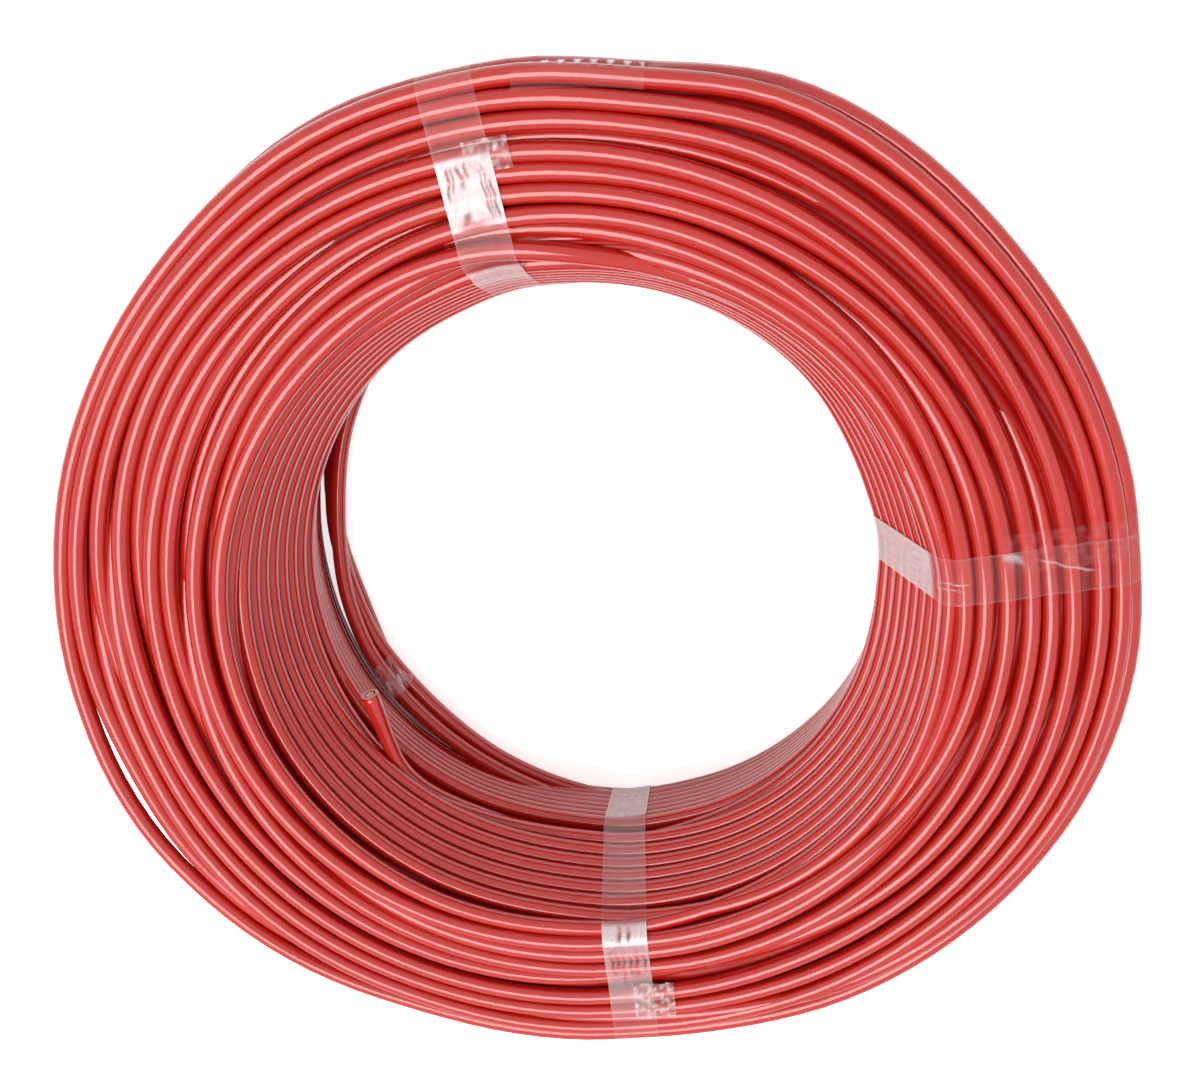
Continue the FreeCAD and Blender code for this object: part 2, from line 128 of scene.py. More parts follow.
# %% [markdown]
# ## Studio
#
# The photograph is a cut-out on pure white, so the floor and the world show white to the camera
# and in reflections, by Light Path, while the light on the object stays at a plain level. The floor
# still takes the coil's shadow: it is a pale diffuse surface whose glow only the camera and
# reflections see.
#
# One large soft box, high, a little to the left and towards the bottom of the picture, draws the
# long highlights on the wires. Its size sets how wide they are: a round wire shows a lamp as a
# strip half as wide, in angle, as the lamp itself.

# %% Floor, world and lamp
FLOOR_REACH = 3.0
FLOOR_GLOW = 0.75
WORLD_LIGHT = 0.56


def white_to_eye(tree):
    """1 on camera, glossy and transmission rays, else 0."""
    path = add_node(tree, "ShaderNodeLightPath")
    seen = add_node(tree, "ShaderNodeMath", {0: path.outputs["Is Camera Ray"],
                                             1: path.outputs["Is Glossy Ray"]}, operation="MAXIMUM")
    return add_node(tree, "ShaderNodeMath", {0: seen.outputs[0],
                                             1: path.outputs["Is Transmission Ray"]}, operation="MAXIMUM")


def build_studio():
    """A pale floor that glows to the eye only, and a world that is white to the eye and softer as light."""
    material, tree, output = new_material("matt_white_paper_sweep")
    paper = add_node(tree, "ShaderNodeBsdfPrincipled", {"Base Color": linear("#e6e6e6"), "Roughness": 0.9})
    seen = white_to_eye(tree)
    lift = add_node(tree, "ShaderNodeMath", {0: seen.outputs[0], 1: FLOOR_GLOW}, operation="MULTIPLY")
    glow = add_node(tree, "ShaderNodeEmission", {"Color": (1, 1, 1, 1), "Strength": lift.outputs[0]})
    both = add_node(tree, "ShaderNodeAddShader", {0: paper.outputs[0], 1: glow.outputs[0]})
    tree.links.new(both.outputs[0], output.inputs["Surface"])
    corners = FLOOR_REACH * np.array([[-1, -1, 0], [1, -1, 0], [1, 1, 0], [-1, 1, 0]])
    mesh = bpy.data.meshes.new("paper_floor")
    mesh.from_pydata(corners.tolist(), [], [(0, 1, 2, 3)])
    mesh.materials.append(material)
    floor = bpy.data.objects.new("paper_floor", mesh)
    bpy.context.scene.collection.objects.link(floor)

    world = bpy.data.worlds.new("white_studio")
    world.use_nodes = True
    tree = world.node_tree
    tree.nodes.clear()
    seen = white_to_eye(tree)
    level = add_node(tree, "ShaderNodeMapRange", {"Value": seen.outputs[0], "To Min": WORLD_LIGHT,
                                                  "To Max": 1.0})
    light = add_node(tree, "ShaderNodeBackground", {"Color": (1, 1, 1, 1), "Strength": level.outputs[0]})
    end = add_node(tree, "ShaderNodeOutputWorld")
    tree.links.new(light.outputs[0], end.inputs["Surface"])
    bpy.context.scene.world = world
    bpy.context.scene.view_settings.view_transform = "Standard"


def add_lamp(name, place, aim, size, power):
    """A soft box of a width and a depth at a place, turned to face a point. In millimetres."""
    data = bpy.data.lights.new(name, "AREA")
    data.shape = "RECTANGLE"
    data.size = size[0] * MM
    data.size_y = size[1] * MM
    data.energy = power
    lamp = bpy.data.objects.new(name, data)
    bpy.context.scene.collection.objects.link(lamp)
    lamp.location = Vector(place) * MM
    lamp.rotation_euler = (Vector(aim) - Vector(place)).to_track_quat("-Z", "Y").to_euler()


build_studio()
add_lamp("overhead_soft_box", place=(-190, -120, 818), aim=(0, 0, 50), size=(550, 590), power=5.6)
print("studio built")


# %% [markdown]
# ## Materials
#
# Building wire has a jacket of PVC, extruded hot over the conductor. It comes out smooth and
# glossy, with a faint waviness along its length from the drawing and dull scuffs where turns rub.
# The reds differ slightly from turn to turn, because a wire is dusty in one place and wiped in the
# next, so a slow noise varies the colour every few centimetres. A cut end is painted paler than the
# skin, a painted highlight on the cut, and a "cut" value on the mesh says where it is. The layer below
# gets a deeper red, which is painted shade between the turns, and a duller gloss.

# %% Wire insulation
def wire_insulation(name, bright, deep, scuff_share, roughest, shine):
    """Extruded gloss PVC. Slow noise mixes two reds, finer noise dulls the gloss and adds pale specks,
    a bump waves the surface, and the mesh's cut value paints a cut face pale, a painted highlight."""
    material, tree, output = new_material(name)
    place = add_node(tree, "ShaderNodeTexCoord").outputs["Object"]
    drift = add_node(tree, "ShaderNodeTexNoise", {"Vector": place, "Scale": 1 / (22 * MM), "Detail": 2.0})
    reds = add_node(tree, "ShaderNodeMix", {"Factor": drift.outputs["Fac"], 6: linear(bright),
                                            7: linear(deep)}, data_type="RGBA")
    rub = add_node(tree, "ShaderNodeTexNoise", {"Vector": place, "Scale": 1 / (8 * MM), "Detail": 3.0})
    dull = add_node(tree, "ShaderNodeMapRange", {
        "Value": rub.outputs["Fac"], "From Min": 0.35, "From Max": 0.75, "To Min": roughest * 0.6,
        "To Max": roughest})
    specks = add_node(tree, "ShaderNodeTexNoise", {"Vector": place, "Scale": 1 / (0.9 * MM), "Detail": 1.0})
    speck = add_node(tree, "ShaderNodeMapRange", {"Value": specks.outputs["Fac"], "From Min": 0.78,
                                                  "From Max": 0.82, "To Min": 0.0, "To Max": scuff_share})
    dusty = add_node(tree, "ShaderNodeMix", {"Factor": speck.outputs[0], 6: reds.outputs[2],
                                             7: linear("#e9b5ae")}, data_type="RGBA")
    wave = add_node(tree, "ShaderNodeTexNoise", {"Vector": place, "Scale": 1 / (6 * MM), "Detail": 1.0})
    bump = add_node(tree, "ShaderNodeBump", {"Height": wave.outputs["Fac"], "Strength": 0.1,
                                             "Distance": 0.2 * MM})
    # The cut value paints the cut face pale: a painted highlight on the cut end.
    cut = add_node(tree, "ShaderNodeAttribute", attribute_name="cut").outputs["Fac"]
    cut_highlight = add_node(tree, "ShaderNodeMix", {"Factor": cut, 6: dusty.outputs[2], 7: linear("#f7ebe8")},
                    data_type="RGBA")
    shader = add_node(tree, "ShaderNodeBsdfPrincipled", {
        "Base Color": cut_highlight.outputs[2], "Roughness": dull.outputs[0], "IOR": 1.5,
        "Specular IOR Level": shine, "Normal": bump.outputs["Normal"]})
    tree.links.new(shader.outputs[0], output.inputs["Surface"])
    return material


jacket = wire_insulation("extruded_gloss_pvc", "#c62419", "#b81e15", scuff_share=0.2,
                         roughest=0.19, shine=0.77)
# Darker reds than the outer turns: painted shade on the layer below.
shaded_under_jacket = wire_insulation("extruded_gloss_pvc_under_turns_painted_shade", "#b01711", "#a0130e", scuff_share=0.0,
                               roughest=0.5, shine=0.25)
print("wire materials:", jacket.name, shaded_under_jacket.name)


# %% [markdown]
# The tape is clear polypropylene film, stretched and cut from a roll. Flat on a wire it can hardly
# be seen. Where it bridges two wires or is creased, air under it scatters light and it turns milky.
# A value on the mesh says how milky each place is, and also holds painted glare, white where the
# film would reflect the lamp, and painted glints on folds and bubbles. A crease pattern sharpens it.
# Film this thin doesn't bend the view, so it is a glossy surface that is mostly let through by alpha.

# %% Clear tape
def clear_tape():
    """Pale glossy film. Its alpha is the mesh's haze and painted glare times a fine pattern of creases across
    the film.
    """
    material, tree, output = new_material("clear_polypropylene_film")
    place = add_node(tree, "ShaderNodeTexCoord").outputs["UV"]
    haze_and_glare = add_node(tree, "ShaderNodeAttribute", attribute_name="haze_and_glare").outputs["Fac"]
    stretched = add_node(tree, "ShaderNodeMapping", {"Vector": place, "Scale": (0.35, 1.0, 1.0)})
    creases = add_node(tree, "ShaderNodeTexNoise", {"Vector": stretched.outputs[0], "Scale": 1 / 0.9,
                                                    "Detail": 4.0, "Distortion": 1.2})
    crease = add_node(tree, "ShaderNodeMapRange", {"Value": creases.outputs["Fac"], "From Min": 0.38,
                                                   "From Max": 0.66, "To Min": 0.88, "To Max": 1.1})
    milky_and_glare = add_node(tree, "ShaderNodeMath", {0: haze_and_glare, 1: crease.outputs[0]}, operation="MULTIPLY",
                     use_clamp=True)
    film = add_node(tree, "ShaderNodeBsdfPrincipled", {
        "Base Color": linear("#eddcdd"), "Roughness": 0.16, "IOR": 1.5, "Specular IOR Level": 1.0,
        "Coat Weight": 0.25, "Coat Roughness": 0.05, "Alpha": milky_and_glare.outputs[0]})
    tree.links.new(film.outputs[0], output.inputs["Surface"])
    return material


tape_film = clear_tape()
print("tape material:", tape_film.name)


# %% [markdown]
# The conductor shows only in the cut end of the tail: seven drawn wires. The cutter leaves their
# ends rough, so from a distance they look dull white, and the finish is only a little metallic.

# %% Conductor strands
def strand_metal():
    """Cut ends of drawn wire: pale, a little metallic, and roughened unevenly by a fine noise."""
    material, tree, output = new_material("drawn_aluminium_strand")
    place = add_node(tree, "ShaderNodeTexCoord").outputs["Object"]
    lines = add_node(tree, "ShaderNodeTexNoise", {"Vector": place, "Scale": 1 / (0.25 * MM), "Detail": 3.0})
    rough = add_node(tree, "ShaderNodeMapRange", {"Value": lines.outputs["Fac"], "To Min": 0.18,
                                                  "To Max": 0.45})
    shader = add_node(tree, "ShaderNodeBsdfPrincipled", {
        "Base Color": linear("#f6f4f1"), "Metallic": 0.15, "Roughness": rough.outputs[0]})
    tree.links.new(shader.outputs[0], output.inputs["Surface"])
    return material


strand_finish = strand_metal()
strand_names = sorted(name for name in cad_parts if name.startswith("strand_"))
for name in strand_names:
    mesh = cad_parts[name].data
    mesh.materials.clear()
    mesh.materials.append(strand_finish)
print("strands finished:", len(strand_names))


# %% [markdown]
# ## The section of the coil
#
# Cut the ring across and its section is a squat five-sided shape: a bore wall that leans out both
# ways from a waist, two flat faces and a straight outer wall. Every turn of the outer layer has its
# middle on one closed line in that section. The line is written as corners with rounded turns, and
# a place on it is a distance from the waist: up the bore wall, out over the face, down the outer
# wall, in over the back and up to the waist again. On the flat upper face FACE + r is the place
# that has the radius r. A band of tape goes right round the section, so its box gives the height.

# %% The line that the outer layer keeps to
WIRE = 3.4
WIRE_RADIUS = WIRE / 2
band_low, band_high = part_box("tape_band_1")
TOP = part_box("coil_core")[0].z / MM + (band_high.z - band_low.z) / MM
COIL_RADIUS = 100.0
WAIST = (60.5, 28.5)
MOUTH = 68.8
CORNERS = np.array([
    WAIST, (MOUTH, TOP - WIRE_RADIUS), (COIL_RADIUS - WIRE_RADIUS, TOP - WIRE_RADIUS),
    (COIL_RADIUS - WIRE_RADIUS, WIRE_RADIUS), (MOUTH, WIRE_RADIUS),
])
CORNER_RADII = (6.0, 3.0, 3.0, 3.0, 3.0)
LINE_STEP = 0.1
ARC_SAMPLES = 24
# Two parts of the line: from the waist to the rim, and the upper outer wall.
WAIST_TO_RIM = (0.0, 60.0)
BELOW_RIM = (60.0, 90.0)
FACE_RADIUS = 84.0


def rounded_line(corners, radii, step):
    """Closed line of straight runs and tangent arcs. An arc of radius r at a corner that turns by t
    starts r tan(t / 2) before it. The result is spaced evenly: radius, height, and both parts of the
    outward normal, which is the travel direction turned a quarter to the left."""
    parts = []
    for before, corner, after, radius in zip(np.roll(corners, 1, 0), corners, np.roll(corners, -1, 0), radii):
        came = (corner - before) / np.linalg.norm(corner - before)
        goes = (after - corner) / np.linalg.norm(after - corner)
        turn = np.arctan2(came[0] * goes[1] - came[1] * goes[0], came @ goes)
        side = np.sign(turn)
        left = np.array([-came[1], came[0]])
        middle = corner - came * radius * np.tan(abs(turn) / 2) + side * radius * left
        swing = np.linspace(0, turn, ARC_SAMPLES)[:, None]
        arm = -side * radius * left
        parts.append(middle + arm * np.cos(swing) + np.array([-arm[1], arm[0]]) * np.sin(swing))
    points = np.concatenate(parts)
    start = int(np.argmin(np.hypot(*(points - corners[0]).T)))
    points = np.roll(points, -start, 0)
    points = np.concatenate([points, points[:1]])
    length = np.concatenate([[0], np.cumsum(np.linalg.norm(np.diff(points, axis=0), axis=1))])
    count = int(length[-1] / step)
    along = np.linspace(0, length[-1], count + 1)
    even = np.stack([np.interp(along, length, points[:, i]) for i in (0, 1)], 1)
    travel = np.roll(even[:-1], -1, 0) - np.roll(even[:-1], 1, 0)
    travel = np.concatenate([travel, travel[:1]])
    travel /= np.linalg.norm(travel, axis=1)[:, None]
    return along, np.concatenate([even, np.stack([-travel[:, 1], travel[:, 0]], 1)], 1)


LINE_AT, LINE = rounded_line(CORNERS, CORNER_RADII, LINE_STEP)
ROUND = LINE_AT[-1]


def on_line(distance):
    """Radius, height and outward normal at distances along the line, which closes on itself."""
    wrapped = np.mod(distance, ROUND)
    return tuple(np.interp(wrapped, LINE_AT, LINE[:, column]) for column in range(4))


def distance_at(limits, radius=None, height=None):
    """The distance along the line, between two limits, where it has a radius or a height."""
    part = (LINE_AT >= limits[0]) & (LINE_AT <= limits[1])
    wanted = LINE[part, 0] - radius if radius is not None else LINE[part, 1] - height
    return LINE_AT[part][np.argmin(np.abs(wanted))]


FACE_MIDDLE = distance_at(WAIST_TO_RIM, radius=FACE_RADIUS)
FACE = FACE_MIDDLE - FACE_RADIUS
print("the line is", round(ROUND, 1), "mm round; middle of the upper face at", round(FACE_MIDDLE, 1))


# %% [markdown]
# ## Uneven roundness
#
# A coil that is held only by tape is never quite round. Its rim swells by up to three millimetres
# on three sides and is drawn in where the lower band grips it, and the mouth of the bore wanders by
# one or two. A few listed values round the coil, and a smooth curve through them, give both.

# %% Smooth curves through listed points, and the outline
def smooth_step(value):
    """0 below 0, 1 above 1, and 3v^2 - 2v^3 between."""
    value = np.clip(value, 0, 1)
    return value * value * (3 - 2 * value)


def fade(value, start, end):
    """0 up to a start, 1 from an end on, and a straight line between. The end may be the lower one."""
    return np.clip((value - start) / (end - start), 0, 1)


def smooth_curve(at, marks, values, period=None):
    """Cubic through marks: on each span a Hermite curve whose slopes are the weighted means of the
    slopes of the spans on both sides. With a period the curve closes on itself."""
    marks = np.asarray(marks, float)
    values = np.asarray(values, float)
    at = np.asarray(at, float)
    if period:
        at = np.mod(at, period)
        marks = np.concatenate([marks[-2:] - period, marks, marks[:2] + period])
        values = np.concatenate([values[-2:], values, values[:2]])
    spans = np.diff(marks)
    rises = np.diff(values) / spans
    slopes = np.concatenate([rises[:1], (rises[:-1] * spans[1:] + rises[1:] * spans[:-1])
                             / (spans[1:] + spans[:-1]), rises[-1:]])
    index = np.clip(np.searchsorted(marks, at, side="right") - 1, 0, len(spans) - 1)
    span = spans[index]
    share = np.clip((at - marks[index]) / span, 0, 1)
    square = share * share
    cube = square * share
    return ((2 * cube - 3 * square + 1) * values[index] + (cube - 2 * square + share) * span * slopes[index]
            + (3 * square - 2 * cube) * values[index + 1] + (cube - square) * span * slopes[index + 1])


OUTLINE = ((0, 102.2), (14, 101.3), (30, 100.8), (48, 100.9), (60, 102.0), (72, 102.2), (84, 99.4),
           (98, 100.5), (120, 101.0), (135, 99.9), (150, 99.9), (168, 100.9), (186, 101.5), (200, 100.8),
           (212, 102.3), (224, 102.8), (236, 101.7), (248, 99.8), (260, 99.4), (276, 99.2), (288, 99.2),
           (300, 101.2), (324, 102.7), (340, 103.1))
MOUTH_MOVES = ((0, -1.4), (14, -1.6), (30, -1.6), (44, -0.7), (60, -0.2), (84, 0.3), (120, 0.4), (180, 0.0),
               (216, 0.9), (240, 1.1), (264, 0.8), (282, 1.6), (300, 2.2), (320, 1.6), (338, 0.2),
               (350, -0.9))
# Where a part of the swell fades in: a first height or radius, and a second.
RIM_RISE = (8.0, 50.0)
RIM_FADE = (86.0, 98.0)
MOUTH_FADE = (80.0, 68.0)
SAG_FADE = (31.0, 4.0)
BACK_SHARE = 0.35
WALL_TAPER = 1.2
SAG = ((135, 0.0), (155, -1.6), (172, -2.8), (190, -3.0), (205, -2.4), (220, -1.4), (245, 0.0))


def swell(angle, radius, height):
    """How far the section moves out at an angle. The rim's part fades in from the middle of the face
    to the rim, and down the outer wall to a share of it, less a slight taper. The mouth's part fades
    out by the middle. Behind the loose turns the lower half of the bore sags inwards."""
    marks, radii = zip(*OUTLINE)
    rim = smooth_curve(angle, marks, radii, 360.0) - COIL_RADIUS
    rise = smooth_step(fade(height, *RIM_RISE))
    rim = rim * (BACK_SHARE + (1 - BACK_SHARE) * rise) - WALL_TAPER * (1 - rise)
    rim = rim * fade(radius, *RIM_FADE)
    marks, moves = zip(*MOUTH_MOVES)
    bore = smooth_curve(angle, marks, moves, 360.0)
    marks, moves = zip(*SAG)
    bore = bore + np.interp(np.mod(angle, 360), marks, moves) * fade(height, *SAG_FADE)
    return rim + bore * fade(radius, *MOUTH_FADE)


print("outline swells from", min(r for _, r in OUTLINE), "to", max(r for _, r in OUTLINE), "mm")


# %% [markdown]
# ## The courses of the turns
#
# On the upper face the turns aren't rings. Each follows its own course, slides over to its
# neighbour, and here and there dives under it, so that one turn ends and another comes up. These
# courses make the coil what it is, so they are read from the object: the angle round the
# axis and the radius at which the crest of the wire is seen, with only as many points as its bends
# need. Before them stands how many millimetres a course lies sunk between its neighbours.
#
# The last course runs along the rim, and a lap of it stands off the coil at the lower left.

# %% Courses on the upper face
FACE_COURSES = (
    (0.0, ((78, 67.6), (100, 67.9), (120, 67.9), (150, 66.6), (175, 66.3), (192, 66.4))),
    (0.0, ((107, 70.0), (140, 68.8), (180, 69.3), (220, 69.3), (250, 70.0), (272, 67.9), (315, 65.1),
           (345, 64.7), (365, 64.4), (385, 65.2), (410, 66.0), (440, 68.3), (462, 73.1), (490, 72.2),
           (516, 70.6))),
    (0.5, ((293, 68.2), (330, 67.0), (358, 66.8))),
    (0.0, ((327, 69.9), (345, 70.2), (371, 68.8), (390, 69.9), (420, 72.3), (450, 76.2), (465, 76.6),
           (500, 74.4), (515, 73.8), (580, 75.6), (600, 74.9), (640, 71.9), (675, 71.1), (712, 73.9),
           (735, 72.8), (773, 74.9))),
    (1.1, ((28, 67.6), (50, 69.1), (80, 71.9), (96, 74.6))),
    (0.0, ((224, 77.2), (260, 75.7), (275, 74.4), (310, 73.4), (333, 74.4))),
    (0.0, ((184, 76.0), (220, 78.9), (233, 80.2), (250, 79.6), (270, 78.6), (290, 79.0), (330, 78.5),
           (380, 76.4), (410, 76.1), (430, 77.2), (450, 79.6), (485, 80.5), (510, 79.3), (563, 78.0))),
    (1.1, ((114, 79.0), (130, 77.5), (165, 75.5), (172, 75.4))),
    (0.0, ((60, 80.0), (80, 82.0), (110, 83.8), (140, 86.0), (160, 85.4), (184, 82.8))),
    (0.0, ((127, 82.2), (150, 82.4), (200, 81.7), (230, 83.4), (250, 82.2), (285, 80.4))),
    (0.0, ((303, 81.7), (330, 83.3), (378, 80.4), (415, 81.9), (440, 83.9), (470, 87.3), (490, 89.2),
           (505, 89.7), (520, 89.2), (545, 86.4), (570, 88.0), (585, 88.7), (610, 87.6), (645, 85.1),
           (670, 85.8), (690, 88.1), (720, 85.3), (742, 83.3))),
    (1.1, ((70, 86.0), (90, 88.2), (102, 88.4))),
    (0.0, ((165, 89.7), (195, 90.0), (220, 91.2), (245, 92.2), (275, 90.4), (330, 92.7), (350, 90.9),
           (370, 88.0), (400, 86.7), (430, 89.9), (470, 90.6), (530, 92.5), (546, 91.4))),
    (0.0, ((-182, 92.9), (-155, 93.6), (-125, 95.3), (-85, 93.2), (-60, 94.6), (-30, 96.3), (0, 94.2),
           (40, 93.2), (60, 93.1), (90, 94.3), (140, 94.9), (165, 95.3), (202, 96.8), (222, 96.6),
           (240, 95.2), (262, 93.0), (280, 92.6), (300, 95.0), (335, 99.0), (370, 97.7), (405, 96.9),
           (435, 98.2), (470, 97.0), (515, 97.1), (552, 99.8), (565, 100.4), (577, 101.3), (588, 100.7),
           (600, 98.6), (612, 96.8), (624, 95.9), (636, 95.0), (648, 96.0), (660, 98.0), (672, 98.5),
           (684, 99.2), (698, 99.7), (708, 99.6), (720, 98.9), (735, 98.2), (756, 98.0), (768, 98.5),
           (780, 99.8), (792, 100.0), (808, 97.8))),
)
LOOSE_OUTER = ((500, 0.0), (520, 0.2), (537, 0.8), (550, 2.3), (560, 3.9), (568, 3.4), (577, 1.9), (592, 0.8),
               (608, 0.0))
print("courses on the face:", len(FACE_COURSES))


# %% [markdown]
# The rest of the outer layer is laid by rule. A turn runs round the section line at a steady
# pitch, and wanders a little: a few slow waves that drift from turn to turn, as each turn beds
# against the last, and a weaker wave of its own. Hidden stretches join one course to the next
# beneath the layer, as on the real coil, so that the whole layer is one unbroken wire.

# %% Waves that make the ruled turns wander
STEP = 6.0
PER_TURN = int(360 / STEP)
# A wave: how many round the coil, its size in millimetres, and its shift per turn in radians.
WANDER = ((1, 0.55, 0.31), (2, 0.6, -0.22), (3, 0.35, 0.43), (5, 0.16, -0.37))
OWN_WAVES = ((1.618, 0.3), (3.303, 0.22))
wander_phases = rng.uniform(0, 2 * np.pi, len(WANDER))
own_phases = rng.uniform(0, 2 * np.pi, len(OWN_WAVES))


def wander(angle):
    """Sideways drift in millimetres at a running angle: waves whose phase shifts with each turn."""
    turn = angle / 360
    drift = np.zeros_like(turn)
    for (waves, size, shift), phase in zip(WANDER, wander_phases):
        drift += size * np.sin(2 * np.pi * (waves + shift / (2 * np.pi)) * turn + phase)
    for (waves, size), phase in zip(OWN_WAVES, own_phases):
        drift += size * np.sin(2 * np.pi * waves * turn + phase)
    return drift


print("wander at angle 0:", round(float(wander(np.zeros(1))[0]), 2), "mm")


# %% [markdown]
# The radii of a course are those at which the camera sees a crest, and it sees a low crest in
# another place than a high one. So each place on the line is carried along the line of sight to
# the plane of the upper crests, and a course's radius is looked up among the results.

# %% Where the camera sees a crest
SEARCH_INWARDS = 32.0
SEARCH_OUTWARDS = 26.0
SEARCH_STEP = 0.25
RIM_MARGIN = 0.05


def seen_radius(angle, distance):
    """Radius at which a place on the line is seen, in the plane of the upper crests: the place is
    carried along the line of sight to that plane."""
    radius, height, _, _ = on_line(distance)
    radius = radius + swell(angle, radius, height)
    x = radius * np.cos(np.radians(angle))
    y = radius * np.sin(np.radians(angle))
    plane = TOP - WIRE_RADIUS
    share = (CAMERA_PLACE[2] - plane) / (CAMERA_PLACE[2] - height)
    return np.hypot(CAMERA_PLACE[0] + (x - CAMERA_PLACE[0]) * share,
                    CAMERA_PLACE[1] + (y - CAMERA_PLACE[1]) * share)


def place_on_face(angle, radius):
    """Distance along the line at which a crest is seen at a radius: the seen radii of the places
    tried are made to rise from one to the next, and read backwards by straight lines between them. A
    radius beyond the greatest one, at the rim, is brought back to it."""
    tries = np.arange(FACE_MIDDLE - SEARCH_INWARDS, FACE_MIDDLE + SEARCH_OUTWARDS, SEARCH_STEP)
    grid = seen_radius(angle[:, None], tries[None, :])
    middle = int(np.argmin(np.abs(tries - FACE_MIDDLE)))
    grid[:, middle:] = np.maximum.accumulate(grid[:, middle:], 1)
    grid[:, :middle + 1] = np.minimum.accumulate(grid[:, middle::-1], 1)[:, ::-1]
    grid += np.arange(len(tries)) * 1e-6
    radius = np.minimum(radius, grid[:, -1] - RIM_MARGIN)
    below = np.sum(grid < radius[:, None], 1).clip(1, len(tries) - 1)
    rows = np.arange(len(angle))
    low, high = grid[rows, below - 1], grid[rows, below]
    return tries[below - 1] + SEARCH_STEP * np.clip((radius - low) / (high - low), 0, 1)


middle_place = place_on_face(np.zeros(1), np.full(1, FACE_RADIUS))[0]
print("a crest seen at radius", FACE_RADIUS, "is", round(float(middle_place), 1), "mm along the line")


# %% [markdown]
# A stretch is two lists, angles and places, with a station every six degrees. A ruled stretch moves
# along the line by one pitch a turn, and a listed course is turned from seen radii into places.

# %% Stretches of wire
WALL_PITCH = 3.5
BORE_PITCH = 3.05


def ruled_stretch(first_angle, first, last, pitch):
    """Turns laid by rule from one distance to another: angles and distances."""
    turns = abs(last - first) / pitch
    angle = np.arange(first_angle, first_angle + 360 * turns, STEP)
    return angle, first + np.sign(last - first) * pitch * (angle - first_angle) / 360 + wander(angle)


def loose_reach(angle):
    """How far the last course stands off the coil at a running angle."""
    marks, reach = np.array(LOOSE_OUTER).T
    inside = (angle > marks[0]) & (angle < marks[-1])
    return np.where(inside, np.maximum(smooth_curve(angle, marks, reach), 0), 0.0)


def face_stretch(course):
    """One listed course: angles on the common stations, and distances."""
    marks, radii = np.array(course, float).T
    angle = np.arange(np.ceil(marks[0] / STEP), np.floor(marks[-1] / STEP) + 1) * STEP
    radius = smooth_curve(angle, marks, radii)
    if course == FACE_COURSES[-1][1]:
        radius = radius - loose_reach(angle)
    return angle, place_on_face(angle, radius)


print("the last course stands off by up to", max(reach for _, reach in LOOSE_OUTER), "mm")


# %% [markdown]
# The stretches are joined into one running list of stations, the wire. It sinks where a stretch
# ends, runs on below the others, and comes up where the next one begins.

# %% One running list of stations
HIDDEN_DEPTH = 4.9
DIVE = 34.0
DIVE_LEAD = 10.0
RULED_HOLD = 0.04
COURSE_HOLD = 0.25
FIRST_ANGLE = 264.0
FIRST_PAST_WAIST = 1.2
LAST_WALL_HEIGHT = 50.0
BORE_ANGLE = 240.0
BORE_PLACES = (4.4, 24.5)
BESIDE_TAIL_ANGLES = (66.0, 226.0)
BESIDE_TAIL_START = 1.6
BESIDE_TAIL_RISE = 1.2


def ruled_stretches():
    """The stretches laid by rule: from the waist down, round the back and up the outer wall, then up
    the bore wall, then the short one beside the tail, which rises in a straight line."""
    wall_end = distance_at(BELOW_RIM, height=LAST_WALL_HEIGHT)
    first, last = BESIDE_TAIL_ANGLES
    beside_tail = np.arange(first, last, STEP)
    rise = BESIDE_TAIL_RISE * (beside_tail - first) / (last - first)
    return (ruled_stretch(FIRST_ANGLE, ROUND + FIRST_PAST_WAIST, wall_end, WALL_PITCH),
            ruled_stretch(BORE_ANGLE, *BORE_PLACES, BORE_PITCH),
            (beside_tail, BESIDE_TAIL_START + rise))


def lay_wire():
    """Joins all stretches into one running list: angle, distance, depth below the line, how strongly
    each station keeps to its place, and how far it stands off the coil. Where one stretch ends, the
    wire sinks by a smooth step over DIVE degrees, and comes up the same way where the next begins."""
    stretches = [(0.0, RULED_HOLD, *stretch) for stretch in ruled_stretches()]
    stretches += [(low, COURSE_HOLD, *face_stretch(course)) for low, course in FACE_COURSES]
    angles, places, depths, holds = [], [], [], []
    for low, hold, angle, place in stretches:
        depth = np.full(len(angle), low)
        if angles:
            last = angles[-1][-1]
            shift = 360 * np.ceil((last + 2 * DIVE - angle[0]) / 360)
            angle = angle + shift
            link = np.arange(last + STEP, angle[0] - STEP / 2, STEP)
            share = smooth_step((link - last) / (angle[0] - last))
            angles.append(link)
            places.append(places[-1][-1] + share * (place[0] - places[-1][-1]))
            sink = np.minimum(link - last, angle[0] - link) + DIVE_LEAD
            depths.append(HIDDEN_DEPTH * smooth_step(sink / DIVE))
            holds.append(np.full(len(link), COURSE_HOLD))
            depth += (HIDDEN_DEPTH - low) * smooth_step((DIVE_LEAD - (angle - angle[0])) / DIVE)
        else:
            depth += HIDDEN_DEPTH * smooth_step(1 - (angle - angle[0]) / DIVE)
        depth += (HIDDEN_DEPTH - low) * smooth_step((DIVE_LEAD - (angle[-1] - angle)) / DIVE)
        angles.append(angle)
        places.append(place)
        depths.append(depth)
        holds.append(np.full(len(angle), hold))
    # The last course ends in sight, and a lap of it stands off the coil.
    depths[-1] = np.where(angle > angle[0] + DIVE, 0.0, depths[-1])
    loose = loose_reach(angle - shift)
    angles, places, depths, holds = (np.concatenate(part) for part in (angles, places, depths, holds))
    stand_off = np.zeros_like(angles)
    stand_off[-len(loose):] = loose
    return angles, places, depths, holds, stand_off


